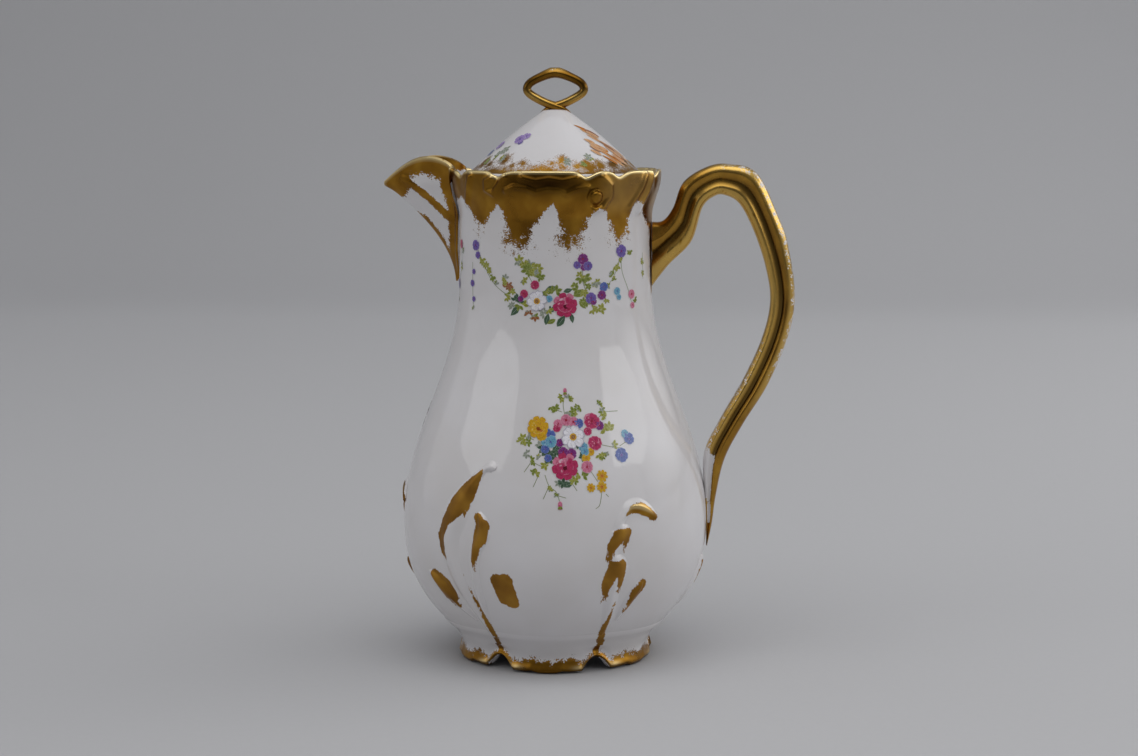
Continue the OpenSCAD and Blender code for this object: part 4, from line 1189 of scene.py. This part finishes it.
BOUQUET = [
    ("olive", 4.6, 112, 2.6), ("olive", 7.4, 116.3, 2.1), ("lime", 11.5, 115.8, 2.1),
    ("olive", 12.6, 110.8, 2.6), ("olive", 15.8, 112.7, 2), ("lime", 13.8, 109.6, 2.2),
    ("olive", 26.3, 110.8, 2.2), ("lime", 27.3, 108.4, 2.2), ("grey", 25.3, 113.5, 1.7),
    ("lime", 27.9, 103.7, 2.6), ("olive", -7.4, 101.4, 2.6), ("olive", -6.3, 99.1, 2.2),
    ("lime", -8.9, 99.8, 1.8), ("olive", -3.5, 91.9, 1.9), ("lime", 1.3, 90, 2.1), ("lime", -2.9, 87.3, 1.9),
    ("grey", -0.8, 93.5, 1.5), ("dark", 7.3, 83.5, 2.5), ("dark_leaf", 9.9, 82.7, 2.2),
    ("olive", 12.6, 83.8, 2.4), ("olive", 15.3, 86.8, 2.3), ("grey", 29.5, 97, 2.3),
    ("lime", 23.9, 93.8, 2.2), ("grey", 25.7, 94.9, 1.7), ("grey", -6, 94.9, 1.8), ("grey", 5.5, 78.8, 1.8),
    ("grey", 3.3, 81.2, 1.5), ("dark", -0.5, 97.3, 2.6), ("dark_leaf", 1.4, 95.6, 2.4),
    ("dark", 3.9, 93.9, 2.6), ("dark_leaf", 5.4, 97, 2.2), ("dark", 15.5, 99, 2.4), ("dark", 6.4, 95.4, 2.2),
    ("dark", 16, 94, 2.2), ("blue", 2.6, 101.6, 2.7), ("teal", 3.4, 99.4, 2.5), ("teal", 1.3, 99, 1.8),
    ("blue", 2.4, 93.1, 1.6), ("blue", 1.2, 96.6, 1.8), ("teal", 16.4, 97.2, 2), ("blue", 15.2, 106.3, 2),
    ("teal", 17, 95.4, 1.8), ("yellow", 17.3, 92.9, 1.8), ("yellow", 19.4, 95.2, 1.6),
    ("pink", 9.8, 107.7, 2.3), ("pink", 6.4, 106.2, 2), ("pink", 13, 107, 2.1), ("magenta", 5.9, 104.6, 1.6),
    ("magenta", 21.1, 107.1, 3.3), ("pink", 19.8, 108, 2), ("purple", 24.4, 105.2, 1.9),
    ("magenta", 18.9, 103.2, 1.7), ("magenta", 21.5, 98.6, 2.9), ("pink", 21.9, 99.1, 1.6),
    ("purple", 8.3, 95.4, 2.1), ("purple", 11.6, 94.8, 2.1), ("purple", 7, 99, 1.7),
    ("daisy", 12.5, 101.2, 5), ("yellow_rose", -2.1, 105, 4.3), ("yellow", -0.4, 101.9, 2.2),
    ("rose", 8.9, 89.9, 5.3), ("pink", 17.4, 89.5, 2.5), ("yellow_daisy", 23.1, 85.7, 2.5),
    ("yellow_daisy", 22.7, 81.5, 2.3), ("yellow_daisy", 18.5, 81.3, 1.9), ("teal", 35.6, 101.4, 1.8),
    ("blue", 37.1, 99.4, 2.4), ("blue", 32.4, 93.3, 2.9), ("bud", 9.7, 118.6, 1.5), ("bud", 6.9, 74.5, 1.8)]
BOUQUET_STEMS = [
    [(9.7, 117.4), (8.7, 113.5), (9.8, 107.7)], [(4.6, 112), (8.2, 110.8)], [(6.9, 75.7), (5.5, 80),
    (2.9, 82.3), (1.3, 86.6)], [(2.9, 82.3), (0.8, 77.2)], [(5.5, 78.8), (9.1, 77.6)], [(-3.4, 91.5),
    (-0.3, 90), (2.4, 90.1)], [(-3, 81.8), (-0.6, 87.7)], [(-6.7, 87.5), (-3.9, 91.9)], [(25.5, 115.1),
    (26.7, 110.4), (23, 107.4)], [(26.7, 110.4), (34.1, 110.4)], [(32.9, 96), (28.5, 96.7),
    (24.3, 97.7)], [(36.8, 98.8), (32.2, 96.8)], [(22.6, 79.5), (21.5, 74.5), (19.9, 73)], [(24.1, 78.6),
    (25.1, 77.4)], [(18.5, 88.3), (21.3, 83.5)], [(-7.8, 101.4), (-3.5, 100)], [(11.1, 83.8), (13.2, 80.3)]]
SPRIG = [("dark", 2, 104, 2.6), ("teal", 0, 106, 2.4), ("blue", -2.5, 103, 2.6), ("olive", 3, 100, 2.4),
         ("violet", 1, 99, 2), ("olive", -3, 98, 2.2), ("lime", 4, 108, 2), ("pink", 5.5, 104.5, 1.9),
         ("grey", 0, 94, 2)]
SPRIG_STEMS = [[(0, 108), (1, 100), (0, 92)]]
# Kind, degrees from the front, distance from the lid's axis, size
LID_FLOWERS = [
    ("lilac", -38.9, 21, 2.7), ("lilac", -32.5, 19.6, 2.1), ("violet", -35, 22.4, 1.4),
    ("lilac", -68, 24, 2.6), ("blue", -74, 27.5, 2), ("grey", -48, 26, 3), ("olive", -52, 28.5, 2.6),
    ("grey", -43, 29.5, 2.2), ("olive", -60, 31, 2.2), ("grey", 33, 29, 2.6), ("olive", 27, 31, 2),
    ("grey", 14, 31, 2)]
STEM_GREEN = "#8C9470"


def painted(name, flowers, stems, side, seed):
    """Paints one side of the pot: stems, then flowers and leaves in the order of their list."""
    work = Enamels(on_pot(side), seed)
    for stops in stems:
        work.stem(stops, STEM_GREEN)
    for kind, b, z, size in flowers:
        work.flower(kind, (b, z), size)
    work.make(name, overglaze, "pot")


def lid_painting():
    """Violets, soft leaves and a brushed orange spray on each side of the lid."""
    work = Enamels(on_lid, 31)
    for side in (0, 180):
        for kind, b, r, size in LID_FLOWERS:
            work.flower(kind, (side + b, r), size)
        for _ in range(30):
            b, r = 38 + 34 * work.random.random(), 16 + 14 * work.random.random()
            tone = ("orange", "pale_orange", "pale_orange", "brown")[work.random.integers(4)]
            work.petal((side + b, r + 0.2 * (b - 55)), 0, 0, 5 + 5 * work.random.random(),
                       1.4 + 1.6 * work.random.random(), -38 - 0.5 * (b - 40), PAINT[tone], 0, 0)
    work.make("lid_painting", overglaze, "lid")


# The pot in its finishes

pot_glaze = glaze_and_gold("glazed_porcelain_with_brushed_gold")
handle_gold = glaze_and_gold("burnished_gold_on_porcelain", 0.8, 0.24, highlight_paint=GOLD_WARMER_PAINTED_HIGHLIGHT)
lid_glaze = glaze_and_gold("glazed_porcelain_with_worn_gold", 0.9, 0.34, 1.1)
ledge_glaze = plain_glaze("clear_glazed_porcelain")
overglaze = enamel("overglaze_enamel")

dress(make_wall(), pot_glaze, "pot", "pot_body")
dress(make_rim(), pot_glaze, "pot", "rim_border")
dress(make_foot(), pot_glaze, "pot", "scalloped_foot")
dress(make_beak(), pot_glaze, "pot", "pouring_beak")
dress(make_handle(), handle_gold, "pot", "handle")
for leaf_name, leaf_node, leaf_groove, leaf_ribs in (
        ("plume_front_relief", "plume_leaf_front", -120, PLUME + [SIDE_LEAF]),
        ("plume_back_relief", "plume_leaf_back", 120, PLUME + [SIDE_LEAF]),
        ("plume_handle_relief", "plume_leaf_handle", 0, SHORT),
        ("scroll_front_relief", "scroll_stem_front", -60, SCROLL),
        ("scroll_back_relief", "scroll_stem_back", 60, SCROLL),
        ("scroll_beak_relief", "scroll_stem_beak", 180, SCROLL)):
    dress(make_leaves(leaf_name, leaf_groove, leaf_ribs), pot_glaze, "pot", leaf_node)
dress(make_lid(), lid_glaze, "lid", "lid_dome")
dress(make_finial(), handle_gold, "lid", "loop_finial")
for name in ("lid_ledge", "lid_collar"):
    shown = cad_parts[name]
    shown.data.materials.clear()
    shown.data.materials.append(ledge_glaze)

painted("garland_front", GARLAND, GARLAND_STEMS, 0, 11)
painted("garland_back", GARLAND, GARLAND_STEMS, 180, 12)
painted("bouquet_front", BOUQUET, BOUQUET_STEMS, 0, 13)
painted("bouquet_back", BOUQUET, BOUQUET_STEMS, 180, 14)
painted("sprig_under_beak", SPRIG, SPRIG_STEMS, -88, 15)
lid_painting()

# Floor, backdrop, light and camera


def make_stage():
    """A sheet of pale grey paper: floor, curve and wall in one sweep, with painted light: lighter to the
    right, and lighter far behind the pot and on the wall.
    """
    profile = [(-4.0, 0), (-2.0, 0), (0, 0), (1.2, 0), (1.8, 0)]
    profile += [(1.8 + 0.9 * math.sin(turn), 0.9 - 0.9 * math.cos(turn))
                for turn in np.linspace(0.15, math.pi / 2, 12)]
    profile += [(2.7, 2.0), (2.7, 4.5)]
    under_foot = 0.0003
    rows = np.array([[[x, y, z - under_foot] for x in (-6, -2, 0, 2, 6)] for y, z in profile]) / MM
    paper = lattice("paper_sweep", rows, merge=False)
    made, tree = new_material("grey_backdrop_paper_with_painted_light")
    where = add(tree, "TexCoord").outputs["Object"]
    x, y, z = add(tree, "SeparateXYZ", {0: where}).outputs
    tones = []
    # Painted light: the greys are lighter at the right, as if lit from there, and lighter far behind the pot
    # and on the upright part than near it. Greys at the left and the right: near the pot, far behind it, and
    # on the upright part
    for reach, left, right in ((0.5, "#BABABC", "#C9C9CB"), (0.8, "#D2D2D4", "#E2E2E4"),
                               (1.4, "#D0D0D2", "#DCDCDE")):
        share = add(tree, "MapRange", {0: x, 1: -reach, 2: reach}).outputs[0]
        tones.append(add(tree, "Mix", {0: share, 6: linear(left), 7: linear(right)},
                         data_type="RGBA").outputs[2])
    tone = tones[0]
    for way, low, high, beyond in ((y, 0.1, 1.5, tones[1]), (z, 0.02, 0.4, tones[2])):
        share = add(tree, "MapRange", {0: way, 1: low, 2: high}).outputs[0]
        tone = add(tree, "Mix", {0: share, 6: tone, 7: beyond}, data_type="RGBA").outputs[2]
    grains = speckle(tree, where, FIBRE_MM, 3, 0.5)
    fibre = add(tree, "MapRange", {0: grains, 1: -1.0, 3: 0.985}).outputs[0]
    colour = add(tree, "VectorMath", {0: tone, "Scale": fibre}, operation="SCALE")
    matt = add(tree, "BsdfPrincipled", {"Base Color": colour.outputs[0], "Roughness": 0.9,
                                        "Specular IOR Level": 0.2})
    add(tree, "OutputMaterial", {"Surface": matt.outputs[0]})
    paper.data.materials.append(made)


def window(name, low, high, brightness, curtain=False):
    """A bright window pane outside the picture, between a lower and an upper edge in millimetres. A
    curtain before it lets less light through towards its sides."""
    pane = lattice(name, np.array([low, high], float), merge=False)
    made, tree = new_material(name + "_daylight")
    level = brightness
    if curtain:
        across = add(tree, "SeparateXYZ", {0: add(tree, "TexCoord").outputs["UV"]})
        for way in (0, 1):
            rest = add(tree, "Math", {0: 1.0, 1: across.outputs[way]}, operation="SUBTRACT")
            hump = add(tree, "Math", {0: rest.outputs[0], 1: across.outputs[way]}, operation="MULTIPLY")
            level = add(tree, "Math", {0: hump.outputs[0], 1: level}, operation="MULTIPLY").outputs[0]
    light = add(tree, "Emission", {"Color": DAYLIGHT, "Strength": level})
    add(tree, "OutputMaterial", {"Surface": light.outputs[0]})
    pane.data.materials.append(made)


def lamp(name, place, aim, size, strength):
    """A soft box whose face has a brightness of strength."""
    clear()
    bpy.ops.object.light_add(type="AREA", location=place)
    made = bpy.context.object
    made.name = name
    made.data.shape = "RECTANGLE"
    made.data.size, made.data.size_y = size
    made.data.energy = strength * math.pi * size[0] * size[1]
    way = np.array(aim) - np.array(place)
    flat = math.hypot(way[0], way[1])
    made.rotation_euler = (math.atan2(flat, -way[2]), 0, math.atan2(-way[0], way[1]))


def make_room():
    """A room that is dim in front of the pot, and pale at its sides and behind it."""
    world = bpy.data.worlds.new("room")
    bpy.context.scene.world = world
    world.use_nodes = True
    tree = world.node_tree
    tree.nodes.clear()
    toward = add(tree, "TexCoord").outputs["Generated"]
    x, y, _ = add(tree, "SeparateXYZ", {0: toward}).outputs
    behind = add(tree, "MapRange", {0: y, 1: -1.0, 2: 0.1, 3: 0.1, 4: 0.56}).outputs[0]
    right = add(tree, "MapRange", {0: x, 1: -1.0, 3: 0.84, 4: 1.4}).outputs[0]
    light = add(tree, "Math", {0: behind, 1: right}, operation="MULTIPLY").outputs[0]
    room = add(tree, "Background", {"Color": ROOM_LIGHT, "Strength": light})
    add(tree, "OutputWorld", {"Surface": room.outputs[0]})


make_stage()
window("window_left", [(-1351, -189, 573), (-1195, -682, 400), (-936, -994, 592), (-805, -1064, 760)],
       [(-1351, -170, 780), (-1299, -295, 800), (-955, -903, 900), (-800, -1062, 940)], 1.45)
window("window_right", [(1134, -793, 614), (1296, -343, 515), (1351, 15, 606), (1352, 73, 638)],
       [(1062, -738, 960), (1114, -626, 950), (1300, -154, 860), (1351, 78, 780)], 2.3)
# The curtain leaves a sixteenth of this brightness in the middle, and less towards the sides
window("curtained_window", *([(2300, -700, z), (2200, 300, z), (1800, 1300, z), (1100, 2100, z)]
                             for z in (250, 2000)), 35.0, curtain=True)
lamp("ceiling", (0, -0.8, 2.0), (0, 0, 0.1), (2.2, 1.6), 1.3)
make_room()

clear()
# The camera looks 6.92 degrees down and stands 5 degrees to the handle's side
bpy.ops.object.camera_add(location=(0.0841, -0.8961, 0.2275),
                          rotation=(math.radians(90 - 6.92), 0, math.radians(5)))
camera = bpy.context.object
camera.data.sensor_width, camera.data.lens = 36, 67.25
camera.data.clip_start = 0.01
scene = bpy.context.scene
scene.camera = camera
scene.view_settings.view_transform = "Standard"
